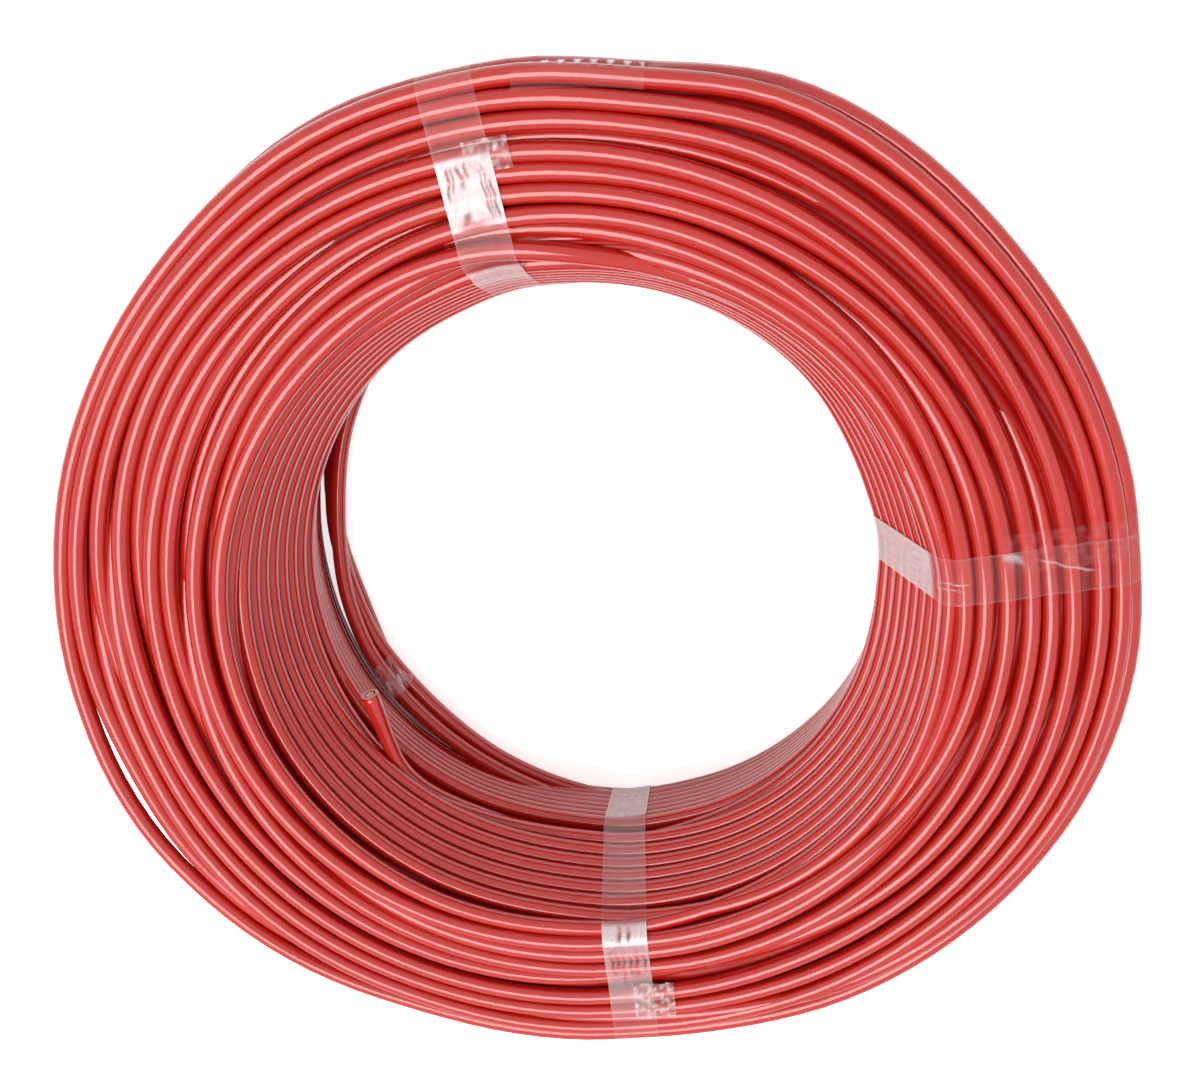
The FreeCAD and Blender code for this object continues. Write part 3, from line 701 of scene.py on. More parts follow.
angle, place, depth, hold, loose_out = lay_wire()
print("stations:", len(angle), "turns:", round((angle[-1] - angle[0]) / 360, 1))


# %% [markdown]
# ## Letting the turns push each other
#
# Hand-read courses and ruled turns overlap a little wherever they meet. The cure is what the real
# wire does: turns that overlap push each other apart along the line and down into the layer below,
# each stays near its own course, and stiffness smooths the kinks away. All turns that cross the
# same station are compared at once, in a table with one row per station.

# %% Push the turns apart
ROUNDS = 90
EASING_ROUNDS = 12
BURIED_DEPTH = 3.8
BURIED_SPAN = 2.2
PUSH_ALONG = 0.55
PUSH_DOWN = 0.45
PULL_ALONG = 0.35
PULL_UP = 0.06
STIFFNESS = 0.2
EASING = 0.5


def station_table(angle):
    """Indices of all stations at the same angle round the axis, one row each, padded with -1."""
    row = np.mod(np.rint(angle / STEP).astype(int), PER_TURN)
    order = np.argsort(row, kind="stable")
    counts = np.bincount(row, minlength=PER_TURN)
    table = np.full((PER_TURN, counts.max()), -1)
    column = np.arange(len(angle)) - np.repeat(np.cumsum(counts) - counts, counts)
    table[row[order], column] = order
    return table


def smooth_along(values, share):
    """Moves each value, in place, by a share of the way to the middle between its neighbours."""
    values[1:-1] += share * (0.5 * (values[2:] + values[:-2]) - values[1:-1])


def relax(place, depth, hold, out, table):
    """Repeats: find the gap between every two wires of a row, push overlapping ones apart along the
    line between them, smooth along the wire, and pull each back towards its course. A wire that
    dives takes less part the deeper it is. A last few rounds only smooth."""
    home_place, home_depth = place.copy(), depth.copy()
    filled = table >= 0
    rows = np.where(filled, table, 0)
    free = smooth_step((BURIED_DEPTH - home_depth) / BURIED_SPAN)
    part = np.where(filled, free[rows], 0)
    pair = part[:, :, None] * part[:, None, :] * (1 - np.eye(table.shape[1]))[None]
    for _ in range(ROUNDS):
        along = place[rows]
        deep = (depth - out)[rows]
        across = along[:, :, None] - along[:, None, :]
        across -= ROUND * np.rint(across / ROUND)
        sunk = deep[:, :, None] - deep[:, None, :]
        apart = np.hypot(across, sunk) + 1e-6
        push = pair * np.clip(WIRE - apart, 0, None) / apart * 0.5
        move_place = np.sum(push * across, 2)
        move_depth = np.sum(push * sunk, 2)
        place[rows[filled]] += PUSH_ALONG * move_place[filled]
        depth[rows[filled]] += PUSH_DOWN * move_depth[filled]
        for values in (place, depth):
            smooth_along(values, STIFFNESS)
        place += hold * PULL_ALONG * (home_place - place)
        depth += PULL_UP * (home_depth - depth)
        depth = np.maximum(depth, 0)
        depth = free * depth + (1 - free) * home_depth
    for _ in range(EASING_ROUNDS):
        for values in (place, depth):
            smooth_along(values, EASING)
    return place, depth


table = station_table(angle)
place, depth = relax(place, depth, hold, loose_out, table)
print("wires that cross one row of stations, at most:", table.shape[1])


# %% [markdown]
# Each band of tape draws the turns under it a little tighter, so the wires in sight sink by half a
# millimetre there, with soft shoulders.

# %% The grip of the tape
TAPE_ANGLES = (103.0, 10.0, 276.5)
PINCH = 0.55
GRIP_HALF = 3.0
GRIP_SHOULDER = 5.0
SHOWN_DEPTH = 3.0


def tape_grip(angle):
    """0 away from the tapes and 1 under them, with soft shoulders a few degrees wide."""
    grip = np.zeros_like(angle)
    for tape in TAPE_ANGLES:
        off = np.abs(np.mod(angle - tape + 180, 360) - 180)
        grip = np.maximum(grip, 1 - smooth_step((off - GRIP_HALF) / GRIP_SHOULDER))
    return grip


shown = depth < SHOWN_DEPTH
depth = depth + PINCH * tape_grip(angle) * shown
print("deepest shown station", round(float(depth[shown].max()), 2), "mm")


# %% [markdown]
# ## From places to a tube
#
# The stations become control points of one open spline. A quadratic spline that is guided by points
# on a circle runs a little inside them, at (6 + 2 cos step) / 8 of their radius, so the points stand
# that much further out. Blender evaluates the spline, and a circle is carried along the result.

# %% Tube helpers
def round_axis(angle, radius, height):
    """Cylinder coordinates, with the angle in degrees, to x, y and z."""
    turn = np.radians(angle)
    return np.stack([radius * np.cos(turn), radius * np.sin(turn), height], -1)


def to_points(angle, place, depth, stand_off=0.0):
    """Points in millimetres: the place on the line, less depth times the outward normal, moved out by
    the swell and by what stands off the coil."""
    radius, height, normal_r, normal_z = on_line(place)
    radius = radius + swell(angle, radius, height) - depth * normal_r + stand_off
    return round_axis(angle, radius, height - depth * normal_z)


def spline_points(controls, resolution):
    """Points in metres along the smooth spline that the control points, in millimetres, guide."""
    data = bpy.data.curves.new("route", "CURVE")
    data.dimensions = "3D"
    spline = data.splines.new("NURBS")
    spline.points.add(len(controls) - 1)
    flat = np.concatenate([np.asarray(controls) * MM, np.ones((len(controls), 1))], 1)
    spline.points.foreach_set("co", flat.ravel().astype(np.float32))
    spline.order_u = 3
    spline.use_endpoint_u = True
    spline.resolution_u = resolution
    holder = bpy.data.objects.new("route", data)
    bpy.context.scene.collection.objects.link(holder)
    bpy.context.view_layer.update()
    mesh = bpy.data.meshes.new_from_object(holder)
    points = np.zeros(len(mesh.vertices) * 3, np.float32)
    mesh.vertices.foreach_get("co", points)
    bpy.data.objects.remove(holder)
    bpy.data.meshes.remove(mesh)
    return points.reshape(-1, 3).astype(float)


def route_frames(path):
    """Two unit vectors at each path point: up from it and across it, both square to the way along."""
    along = np.gradient(path, axis=0)
    along /= np.linalg.norm(along, axis=1)[:, None]
    up = np.array([0, 0, 1.0]) - along * along[:, 2:]
    up /= np.linalg.norm(up, axis=1)[:, None]
    return up, np.cross(along, up)


def grid_faces(rows, columns, close_columns=True):
    """Quads of a grid of rows by columns, wound so that a tube along the rows faces outwards."""
    row = np.arange(rows - 1)[:, None]
    column = np.arange(columns if close_columns else columns - 1)[None, :]
    following = np.mod(column + 1, columns)
    first = row * columns + column
    return np.stack([first, row * columns + following, (row + 1) * columns + following,
                     first + columns], 2).reshape(-1, 4)


def new_piece(name, points, faces, material, uvs=None):
    """A mesh object at the origin from arrays in metres, smooth shaded, riding on the coil."""
    mesh = bpy.data.meshes.new(name)
    mesh.from_pydata(points.tolist(), [], [face.tolist() for face in faces])
    mesh.materials.append(material)
    mesh.polygons.foreach_set("use_smooth", np.ones(len(mesh.polygons), bool))
    if uvs is not None:
        layer = mesh.uv_layers.new(name="UVMap")
        corner = np.zeros(len(mesh.loops), np.int32)
        mesh.loops.foreach_get("vertex_index", corner)
        layer.data.foreach_set("uv", uvs[corner].ravel().astype(np.float32))
    mesh.update()
    piece = bpy.data.objects.new(name, mesh)
    bpy.context.scene.collection.objects.link(piece)
    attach(piece, "root")
    print(name, len(mesh.polygons), "faces")
    return piece


def set_shares(piece, name, shares):
    """Stores a number from 0 to 1 at each vertex, which a material reads by its name."""
    layer = piece.data.attributes.new(name, "FLOAT", "POINT")
    layer.data.foreach_set("value", shares.ravel().astype(np.float32))


def tube_faces(rings, sides):
    """Quads between the rings, and a fan at both ends round two points that follow the rings."""
    side = np.arange(sides)
    following = np.mod(side + 1, sides)
    count = rings * sides
    last = count - sides
    first_fan = np.stack([following, side, np.full(sides, count)], 1)
    last_fan = np.stack([last + side, last + following, np.full(sides, count + 1)], 1)
    return [*grid_faces(rings, sides), *first_fan, *last_fan]


def ring_arrays(path, stations, sizes, sides):
    """A closed tube of rings, each at a station of the path and with a radius of its own:
    path + radius (cos t up + sin t across)."""
    up, across = route_frames(path)
    turn = np.linspace(0, 2 * np.pi, sides, endpoint=False)[None, :, None]
    ring = np.cos(turn) * up[stations][:, None] + np.sin(turn) * across[stations][:, None]
    rings = path[stations][:, None] + ring * sizes[:, None, None]
    points = np.concatenate([rings.reshape(-1, 3), path[stations[:1]], path[stations[-1:]]])
    return points, tube_faces(len(stations), sides)


def wire_arrays(path, sides):
    """A wire along a path: one ring of the wire's radius at each of its points."""
    return ring_arrays(path, np.arange(len(path)), np.full(len(path), WIRE_RADIUS * MM), sides)


def path_length(path):
    """Sum of the straight distances from each point of a path to the next."""
    return float(np.sum(np.linalg.norm(np.diff(path, axis=0), axis=1)))


print("tube helpers ready")


# %% [markdown]
# ## The outer layer
#
# One wire makes the whole outer layer, from its start on the bore wall to its end under the strip
# at the rim. It is about twenty pixels wide in the picture at most, so a tube of twelve sides looks
# round.

# %% The outer layer of turns
TURN_SIDES = 12
SPLINE_SHARE = (6 + 2 * np.cos(np.radians(STEP))) / 8
turn_guides = to_points(angle, place, depth, loose_out) / np.array([SPLINE_SHARE, SPLINE_SHARE, 1])
turn_path = spline_points(turn_guides, resolution=2)
points, faces = wire_arrays(turn_path, TURN_SIDES)
outer_turns = new_piece("outer_turns", points, faces, jacket)
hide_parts("wound_turns")
print("wire in the outer layer:", round(path_length(turn_path), 2), "m")


# %% [markdown]
# ## The layers below
#
# Between the turns of the outer layer the next layer shows, a wire's depth down. Only slivers of
# it are ever seen, so it is one closed skin with a half-round ridge for each hidden turn, and the
# ridges wander like the turns above them. Its reds are darker than the outer turns': painted shade
# in the gaps between them.

# %% Inner layers
BED_DEPTH = 1.45
RIDGE_HEIGHT = 1.3
RIDGE_ROUNDNESS = 0.94
RIDGE_SAMPLES = 6
BED_COLUMNS = 180
# A wave: how many round the coil, its size in ridges, its shift per sample and its phase in radians.
BED_WAVES = ((2, 0.5, 0.021, 0.0), (5, 0.4, 0.0, 1.0))


def inner_layers():
    """Grid of angle by place round the section. Sample s stands s / 6 + drift ridges along the line,
    where the drift is two waves round the coil, and its depth falls off each crest as
    1 - sqrt(1 - 0.94 x^2), with x from -1 to 1 across a ridge."""
    ridges = int(ROUND / WIRE)
    turn = np.linspace(0, 360, BED_COLUMNS, endpoint=False)[:, None]
    sample = np.arange(ridges * RIDGE_SAMPLES)[None, :]
    drift = sum(size * np.sin(np.radians(waves * turn) + sample * shift + phase)
                for waves, size, shift, phase in BED_WAVES)
    place = (sample / RIDGE_SAMPLES + drift) * ROUND / ridges
    off = np.mod(sample, RIDGE_SAMPLES) / RIDGE_SAMPLES * 2 - 1
    depth = BED_DEPTH + RIDGE_HEIGHT * (1 - np.sqrt(1 - RIDGE_ROUNDNESS * off * off))
    depth = depth + PINCH * tape_grip(turn)
    flat = to_points(np.broadcast_to(turn, place.shape).ravel(), place.ravel(), depth.ravel())
    faces = grid_faces(BED_COLUMNS, sample.size)
    closing = (BED_COLUMNS - 1) * sample.size + np.arange(sample.size)
    opening = np.arange(sample.size)
    seam = np.stack([closing, np.roll(closing, -1), np.roll(opening, -1), opening], 1)
    return flat * MM, np.concatenate([faces, seam])


points, faces = inner_layers()
bed = new_piece("inner_layers", points, faces, shaded_under_jacket)
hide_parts("coil_core")


# %% [markdown]
# ## Loose turns in the bore
#
# On the left, near the back, three turns have come away from the bore wall. They sag inwards
# between two bands of tape and cross each other, and a twist of clear tape holds them together.

# %% Loose inner turns
# A point: the angle, the radius and the height.
LOOSE_TURNS = (
    ((108, 70.0, 7.4), (122, 67.0, 8.4), (135, 63.6, 8.9), (147, 61.7, 9.0), (159, 60.2, 8.9),
     (173, 58.6, 8.8), (187, 59.0, 8.8), (197, 60.0, 8.8), (210, 61.6, 8.7), (226, 62.4, 8.6),
     (240, 64.0, 8.6), (254, 66.6, 8.6), (266, 69.6, 8.4)),
    ((100, 71.0, 4.6), (116, 67.6, 5.0), (135, 64.4, 5.4), (150, 62.6, 5.5), (165, 61.2, 5.5),
     (178, 60.6, 5.4), (190, 59.4, 5.4), (200, 59.2, 5.4), (208, 59.6, 5.3), (216, 59.4, 5.3),
     (226, 60.0, 5.3), (239, 62.0, 5.2), (250, 64.4, 5.1), (264, 68.0, 4.8), (276, 71.4, 4.5)),
    ((106, 71.5, 1.9), (120, 68.8, 1.9), (138, 66.0, 1.9), (152, 64.2, 1.9), (168, 63.0, 1.9),
     (184, 60.5, 1.9), (192, 59.5, 1.9), (198, 59.3, 1.9), (205, 59.9, 1.9), (212, 61.3, 1.9),
     (220, 63.9, 1.9), (232, 66.4, 1.9), (247, 68.0, 1.9), (262, 71.6, 1.9)),
)
LOOSE_SIDES = 16
LOOSE_STANDS_FOR = ("loose_turn_2", "loose_turn_1", None)
for number, (course, node) in enumerate(zip(LOOSE_TURNS, LOOSE_STANDS_FOR), 1):
    path = spline_points(round_axis(*np.array(course).T), resolution=5)
    points, faces = wire_arrays(path, LOOSE_SIDES)
    piece = new_piece(f"loose_inner_turn_{number}", points, faces, jacket)
    if node:
        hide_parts(node)


# %% [markdown]
# ## The tail
#
# The wire's inner end leaves its place in the bore wall and stands free for about three
# centimetres. It is a short stiff cord: a few control points give its line, and the profile that is
# carried along it flares a little towards the cut and turns in there, so that the jacket has a real
# wall round the strands. The rings of the cut face get the "cut" value, which paints the jacket pale
# there: a painted highlight on the cut.

# %% The tail
STRANDS_OUT = 1.03
TAIL_ROUTE = (
    (-7.6, -65.8, 28.4), (-16.8, -62.6, 28.7), (-25.2, -59.2, 29.0), (-32.4, -55.6, 29.8),
    (-38.6, -51.2, 30.7), (-43.0, -45.6, 31.2), (-45.0, -38.4, 31.7), (-46.3, -32.6, 32.4),
    (-47.7, -27.0, 33.0),
)
TAIL_SIDES = 28
TAIL_FLARE = 0.22
FLARE_STATIONS = 12
EDGE_BEVEL = (0.03, 0.1)
BORE_LIP = (0.34, 0.26)
NEARLY_CLOSED = 0.02
BORE_STATIONS = 3
CUT_FACE_RINGS = (1, 2)


def cut_tube(path):
    """Closed jacket with a hollow cut end: rings out along the path, over the cut's small bevel, in
    across the cut face and back down the bore. The flare is a smooth step over the last stations."""
    last = len(path) - 1
    stations = np.concatenate([[0], np.arange(len(path)), [last] * 3, [last - BORE_STATIONS] * 2])
    past = np.arange(len(path)) - (len(path) - FLARE_STATIONS)
    flare = WIRE_RADIUS + TAIL_FLARE * smooth_step(past / (FLARE_STATIONS - 1))
    cut = [flare[-1] - bevel for bevel in EDGE_BEVEL] + [STRANDS_OUT + lip for lip in BORE_LIP]
    sizes = np.concatenate([[NEARLY_CLOSED], flare[1:], cut, [STRANDS_OUT, NEARLY_CLOSED]])
    return ring_arrays(path, stations, sizes * MM, TAIL_SIDES)


tail_path = spline_points(TAIL_ROUTE, resolution=8)
points, faces = cut_tube(tail_path)
tail = new_piece("tail_insulation_skin", points, faces, jacket)
rings_past_route = np.arange(len(points) // TAIL_SIDES) - len(tail_path)
# The rings of the cut face are painted pale: a painted highlight on the cut.
pale_cut_highlight = np.isin(rings_past_route, CUT_FACE_RINGS).astype(float)
set_shares(tail, "cut", np.append(np.repeat(pale_cut_highlight, TAIL_SIDES), [0.0, 0.0]))
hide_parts("tail_insulation")


# %% [markdown]
# ## Tape
#
# Film that is pulled tight over wires touches only their crests and bridges the gaps between them.
# That is the shape of a ball rolled over the wires: first every crest is widened into a parabola,
# then the lowest parabola that fits over the result is kept. Both are single array operations on
# the heights of the wires under each line of the tape.

# %% Draped film
FILM_GAP = 0.22
FILM_RISE = 0.05
FILM_STEP = 0.45
NO_WIRE = -3.0


def wires_at(turn):
    """Places and depths of all wires where they cross an angle, between their two nearest stations."""
    station = np.floor(turn / STEP)
    share = turn / STEP - station
    first = table[int(station) % PER_TURN]
    first = first[(first >= 0) & (first + 1 < len(angle))]
    return ((1 - share) * place[first] + share * place[first + 1],
            (1 - share) * depth[first] + share * depth[first + 1])


def film_heights(turn, at):
    """Height of tight film over the section line at places along it, at one angle."""
    places, depths = wires_at(turn)
    off = at[:, None] - places[None, :]
    off -= ROUND * np.rint(off / ROUND)
    reach = WIRE_RADIUS + FILM_GAP
    tops = np.where(np.abs(off) < reach, np.sqrt(np.clip(reach ** 2 - off ** 2, 0, None)) - depths, NO_WIRE)
    height = tops.max(1)
    gap = at[:, None] - at[None, :]
    gap -= ROUND * np.rint(gap / ROUND)
    bow = FILM_RISE * gap ** 2
    raised = (height[None, :] - bow).max(1)
    return (raised[None, :] + bow).min(1)


def film_band(tape_angle, offsets, start, end, lift=0.0):
    """Grid of film: rows along the section line from start to end, columns at offsets across the
    tape. The columns stand side by side at right angles to the radius, so the tape's edges are
    straight. The wires are looked up at the waist's radius and at the rim's, and blended between."""
    at = np.arange(start, end, FILM_STEP)
    radius, height, normal_r, normal_z = on_line(at)
    near, far = [
        np.stack([film_heights(tape_angle + np.degrees(offset / reach), at) for offset in offsets], 1)
        for reach in (WAIST[0], COIL_RADIUS)
    ]
    share = (radius - WAIST[0]) / (COIL_RADIUS - WAIST[0])
    heights = near + (far - near) * share[:, None] + lift
    radius = radius[:, None] + swell(tape_angle, radius, height)[:, None] + normal_r[:, None] * heights
    height = height[:, None] + normal_z[:, None] * heights
    turn = np.radians(tape_angle)
    outward = np.array([np.cos(turn), np.sin(turn)])
    aside = np.array([-np.sin(turn), np.cos(turn)])
    inward = radius - offsets[None, :] ** 2 / (2 * radius)
    flat = inward[..., None] * outward + offsets[None, :, None] * aside
    points = np.concatenate([flat, height[..., None]], 2)
    uvs = np.stack(np.broadcast_arrays(at[:, None], offsets[None, :]), 2)
    return at, points, uvs


def open_grid(rows, columns):
    """Faces of a grid that closes neither way, wound so that film faces outwards."""
    return grid_faces(rows, columns, close_columns=False)[:, ::-1]


def closed_grid(rows, columns):
    """Faces of a grid that also closes from its last row to its first."""
    column = np.arange(columns - 1)
    last = (rows - 1) * columns + column
    seam = np.stack([column, column + 1, last + 1, last], 1)
    return np.concatenate([open_grid(rows, columns), seam])


def new_film(name, points, faces, uvs, haze_and_glare):
    """A piece of tape film from grids in millimetres, with its haze."""
    piece = new_piece(name, points.reshape(-1, 3) * MM, faces, tape_film, uvs.reshape(-1, 2))
    set_shares(piece, "haze_and_glare", haze_and_glare)
    return piece


print("film reaches", WIRE_RADIUS + FILM_GAP, "mm from a wire's middle")


# %% [markdown]
# A band is milky in long stretches and nearly clear between them. The milky stretches are partly
# real haze and partly painted glare, where the film would reflect the lamp. So their haze and glare
# are written as pairs of a distance along the line and the value there, with straight lines between.
#
# A crease is a narrow line along the tape. On milky film the wires show through it. On clear film a
# white fold is a painted glint, where a fold would catch the light. Each is written as its offset
# across the tape, the radii where it begins and ends, its half width, and how far it drifts sideways
# in each millimetre.

# %% Haze and creases of the bands
TAPE_WIDTH = 9.3
BAND_COLUMNS = 39
BAND_OFFSETS = np.linspace(-TAPE_WIDTH / 2, TAPE_WIDTH / 2, BAND_COLUMNS)
CREASE_ENDS = 4
CREASE_WAVE = 0.15
CREASE_TURN = 1.9
CREASE_CLEARS = 0.8
FOLD_GLINT_HAZE = 0.42
EDGE_HAZE = 0.08
EDGE_FROM = 0.9
EDGE_SPAN = 0.1
# The milky stretches are partly painted glare: white where the film would reflect the lamp.
BAND_HAZE_AND_GLARE = (
    ((0, 0.12), (8, 0.12), (14, 0.2), (FACE + 62.5, 0.5), (FACE + 67.5, 0.5), (FACE + 68.8, 0.1),
     (FACE + 74, 0.1), (FACE + 75.2, 0.16), (FACE + 75.6, 0.66), (FACE + 86.5, 0.7), (FACE + 87.0, 0.08),
     (FACE + 95, 0.06), (FACE + 99, 0.1), (ROUND, 0.1)),
    ((0, 0.55), (12, 0.6), (FACE + 64, 0.62), (FACE + 65.5, 0.06), (FACE + 96, 0.03), (FACE + 99, 0.1),
     (ROUND, 0.1)),
    ((0, 0.22), (FACE + 61, 0.2), (FACE + 61.5, 0.05), (FACE + 67.3, 0.05), (FACE + 67.6, 0.85),
     (FACE + 70.6, 0.8), (FACE + 71.0, 0.4), (FACE + 84, 0.3), (FACE + 90, 0.2), (FACE + 92, 0.07),
     (ROUND - 34, 0.1), (ROUND - 30, 0.68), (ROUND - 3, 0.66), (ROUND - 2, 0.22), (ROUND, 0.22)),
)
CREASES = (
    ((3.7, 80, 86.4, 0.28, -0.16), (2.6, 81, 86.2, 0.2, -0.1), (0.6, 81.5, 86.2, 0.4, 0.16),
     (0.0, 83, 86.4, 0.3, -0.05), (-2.6, 75.5, 85, 0.2, 0.05), (-3.1, 76, 86.5, 0.16, 0.03),
     (-3.8, 75.5, 84, 0.3, 0.02), (2.3, 75, 78.4, 0.7, -0.3), (0.3, 75, 76.6, 2.2, 0.0)),
    (),
    ((-1.1, 67.4, 70.8, 0.5, 0.0), (0.8, 67.6, 70.6, 0.5, 0.0), (-3.4, 71.4, 80, 0.4, 0.08),
     (-2.0, 72.5, 79, 0.5, 0.05), (-0.6, 72, 82, 0.35, -0.03), (0.7, 73, 80, 0.45, 0.0),
     (2.2, 72, 81, 0.5, -0.05), (3.5, 72.5, 79, 0.35, 0.05)),
)
# White folds are painted glints: white lines where a fold would catch the light.
WHITE_FOLD_GLINTS = (
    (),
    ((4.4, 76.4, 80.2, 0.75, -0.5), (4.2, 76.6, 79.4, 0.6, -0.4), (2.9, 81.5, 91.0, 0.17, -0.42),
     (0.3, 87.6, 91.5, 0.15, -0.3), (-0.4, 65.8, 72.0, 0.1, 0.0), (-1.6, 66.0, 71.0, 0.1, 0.03)),
    (),
)


def crease_share(at, offsets, creases):
    """How much of each place lies in a crease, 0 to 1: each crease is a bell across the tape at an
    offset that drifts, between two radii, with soft ends."""
    left = np.ones((len(at), len(offsets)))
    for middle, first, last, half, drift in creases:
        run = (at - FACE - first) / (last - first)
        window = smooth_step(run * CREASE_ENDS) * smooth_step((1 - run) * CREASE_ENDS)
        line = middle + drift * (at - FACE - first) + CREASE_WAVE * np.sin(at * CREASE_TURN)
        bell = np.exp(-((offsets[None, :] - line[:, None]) / half) ** 2)
        left *= 1 - window[:, None] * bell
    return 1 - left


def band_haze_and_glare(at, marks, creases, folds):
    """Straight lines between the marks, which hold haze and painted glare, less the creases, and more at the
    white folds, which are painted glints, and at the edges.
    """
    haze_and_glare = np.interp(at, *np.array(marks, float).T)[:, None]
    haze_and_glare = haze_and_glare * (1 - CREASE_CLEARS * crease_share(at, BAND_OFFSETS, creases))
    edge = smooth_step((np.abs(BAND_OFFSETS) / (TAPE_WIDTH / 2) - EDGE_FROM) / EDGE_SPAN)
    return haze_and_glare + EDGE_HAZE * edge[None, :] + FOLD_GLINT_HAZE * crease_share(at, BAND_OFFSETS, folds)


bands = zip(TAPE_ANGLES, BAND_HAZE_AND_GLARE, CREASES, WHITE_FOLD_GLINTS)
for number, (tape_angle, marks, creases, folds) in enumerate(bands, 1):
    at, points, uvs = film_band(tape_angle, BAND_OFFSETS, 0.0, ROUND)
    faces = closed_grid(len(at), len(BAND_OFFSETS))
    band = new_film(f"tape_film_{number}", points, faces, uvs, band_haze_and_glare(at, marks, creases, folds))
    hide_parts(f"tape_band_{number}")


# %% [markdown]
# Each band was torn off its roll, and its free end lies crumpled on the upper face, a little past
# the band's edge. Crumpled film is folded flat between sharp creases, which folded saw-tooth waves
# in a few directions give.

# %% Crumpled free ends of the bands
# A fold: the direction of its waves in radians, their length and their height.
TAB_FOLDS = ((0.4, 3.1, 0.5), (1.5, 2.3, 0.4), (2.4, 4.3, 0.6), (0.9, 1.7, 0.2))
# A free end: its middle radius, half its length, its side, how far it reaches to that side, its
# haze, and how strongly it is folded.
TABS = ((86.5, 2.6, -1, 8.0, 0.3, 0.8), (88.5, 11.5, 1, 8.2, 0.035, 0.15), (86.0, 4.4, 1, 9.0, 0.32, 1.0))
TAB_COLUMNS = 30
TAB_INNER = 0.5
TAB_LIFT = 0.15
FINE_FOLDS = 1.7
SHARP_FROM = 0.6
SHARP_SPAN = 0.7
HAZE_LEAST = 0.35
HAZE_RISE = 1.3


def crumple(along, across):
    """Folds: for each direction, wavelength and height a triangle wave, all added."""
    total = 0
    for turn, length, height in TAB_FOLDS:
        wave = (along * np.cos(turn) + across * np.sin(turn)) / length
        total = total + height * np.abs(np.mod(wave, 1) * 2 - 1)
    return total


for number, (tape_angle, tab) in enumerate(zip(TAPE_ANGLES, TABS), 1):
    radius, reach, side, width, level, fold = tab
    begin, finish = FACE + radius - reach, FACE + radius + reach
    rows = np.arange(begin, finish, FILM_STEP)
    offsets = np.linspace(TAB_INNER, width, TAB_COLUMNS) * side
    lift = TAB_LIFT + fold * crumple(rows[:, None], offsets[None, :])
    _, points, uvs = film_band(tape_angle, offsets, begin, finish, lift)
    faces = open_grid(len(rows), TAB_COLUMNS)[:, ::side]
    folds = crumple(rows[:, None] * FINE_FOLDS, offsets[None, :] * FINE_FOLDS)
    haze_and_glare = level * (HAZE_LEAST + HAZE_RISE * smooth_step((folds - SHARP_FROM) / SHARP_SPAN))
    piece = new_film(f"tape_free_end_{number}", points, faces, uvs, haze_and_glare)
    piece.data.polygons.foreach_set("use_smooth", np.zeros(len(piece.data.polygons), bool))


# %% [markdown]
# ## The strip at the outer end
#
# The strip that holds the wire's outer end lies so flat that only its edges and a row of trapped
# bubbles on the last crest show. Each bubble is a painted glint: a white oval whose haze falls off at
# its edge, and the same one repeats along the strip.

# %% The strip at the outer end
STRIP_ANGLE = 90.5
STRIP_HALF = 10.5
STRIP_COLUMNS = 71
STRIP_OFFSETS = np.linspace(-STRIP_HALF, STRIP_HALF, STRIP_COLUMNS)
STRIP_START = 95.5
STRIP_END_HEIGHT = 46.5
STRIP_HAZE = 0.05
BUBBLES = 8
BUBBLE_GLINT_HAZE = 0.9
BUBBLE_PLACE = 98.5
BUBBLE_STRETCH = (0.9, 1.6)
BUBBLE_HALF = 0.45
BUBBLE_EDGE = 0.25
strip_end = distance_at(BELOW_RIM, height=STRIP_END_HEIGHT)
at, points, uvs = film_band(STRIP_ANGLE, STRIP_OFFSETS, FACE + STRIP_START, strip_end)
pitch = 2 * STRIP_HALF / BUBBLES
along = (np.mod(STRIP_OFFSETS + pitch / 2, pitch) - pitch / 2)[None, :]
crest = (at - (FACE + BUBBLE_PLACE))[:, None]
off_bubble = np.hypot(along * BUBBLE_STRETCH[0], crest * BUBBLE_STRETCH[1]) - BUBBLE_HALF
# The bubbles are painted glints: white ovals in the film's haze.
haze_and_glare = np.clip(STRIP_HAZE + BUBBLE_GLINT_HAZE * (1 - smooth_step(off_bubble / BUBBLE_EDGE)), 0, 1)
strip = new_film("outer_end_film", points, open_grid(len(at), STRIP_COLUMNS), uvs, haze_and_glare)
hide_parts("outer_end_tape")


# %% [markdown]
# ## The twist round the loose turns
#
# The twist is a sleeve of crumpled film: an oval carried along a short way round the coil, that big
# folds push in and out. Fine lines of haze run along it and gather at a knot.

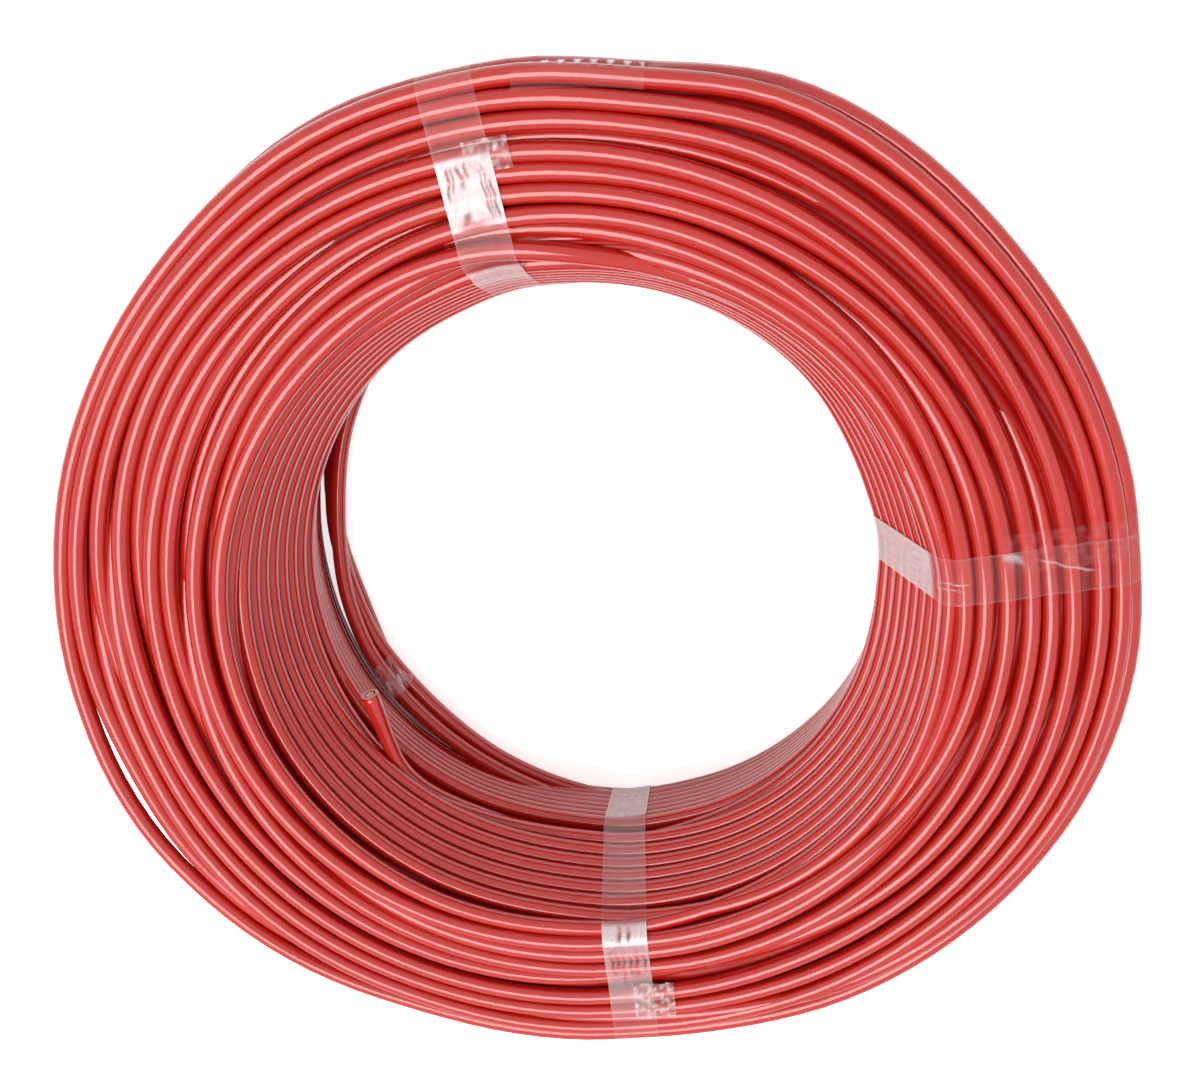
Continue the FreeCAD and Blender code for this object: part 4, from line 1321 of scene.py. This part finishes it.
# %% The twist round the loose turns
TWIST_ANGLE = 216.0
TWIST_HALF = 4.2
TWIST_ROWS = 90
TWIST_SIDES = 120
TWIST_MIDDLE = (61.4, 5.9)
TWIST_REACH = (3.1, 5.2)
TWIST_CRUMPLE = (0.28, 0.2)
TWIST_WAIST = 0.25
TWIST_TALLEST = 5.6
FOLD_ALONG = 2.2
FOLD_SLANT = 2.5
FOLD_ROUND = 4.2
LINE_ALONG = 0.45
LINE_SLANT = 0.9
LINE_ROUND = 8
LINE_FROM = 0.8
LINE_SPAN = 0.3
FILM_PER_RADIAN = 4
FILM_HAZE = 0.05
FILM_KNOT_HAZE = 0.2
LINE_HAZE = 0.15
LINE_KNOT_HAZE = 0.4
KNOT_PLACE = 1.6
KNOT_HALF = 2.0
run = np.linspace(-TWIST_HALF, TWIST_HALF, TWIST_ROWS)[:, None]
around = np.linspace(0, 2 * np.pi, TWIST_SIDES, endpoint=False)[None, :]
fold = crumple(run * FOLD_ALONG + FOLD_SLANT * around, around * FOLD_ROUND - run)
reach_r = TWIST_REACH[0] + TWIST_CRUMPLE[0] * fold - TWIST_WAIST * np.cos(np.pi * run / TWIST_HALF)
reach_z = np.minimum(TWIST_REACH[1] + TWIST_CRUMPLE[1] * fold, TWIST_TALLEST)
radius = TWIST_MIDDLE[0] + reach_r * np.cos(around)
height = TWIST_MIDDLE[1] + reach_z * np.sin(around)
points = round_axis(run + TWIST_ANGLE, radius, height)
uvs = np.stack(np.broadcast_arrays(run, around * FILM_PER_RADIAN), 2)
fine = crumple(run * LINE_ALONG, around * LINE_ROUND + run * LINE_SLANT)
lines = smooth_step((fine - LINE_FROM) / LINE_SPAN)
knot = np.exp(-((run - KNOT_PLACE) / KNOT_HALF) ** 2)
haze_and_glare = FILM_HAZE + FILM_KNOT_HAZE * knot + (LINE_HAZE + LINE_KNOT_HAZE * knot) * lines
twist = new_film("twist_film", points, grid_faces(TWIST_ROWS, TWIST_SIDES)[:, ::-1], uvs, haze_and_glare)
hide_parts("loose_turn_tape")
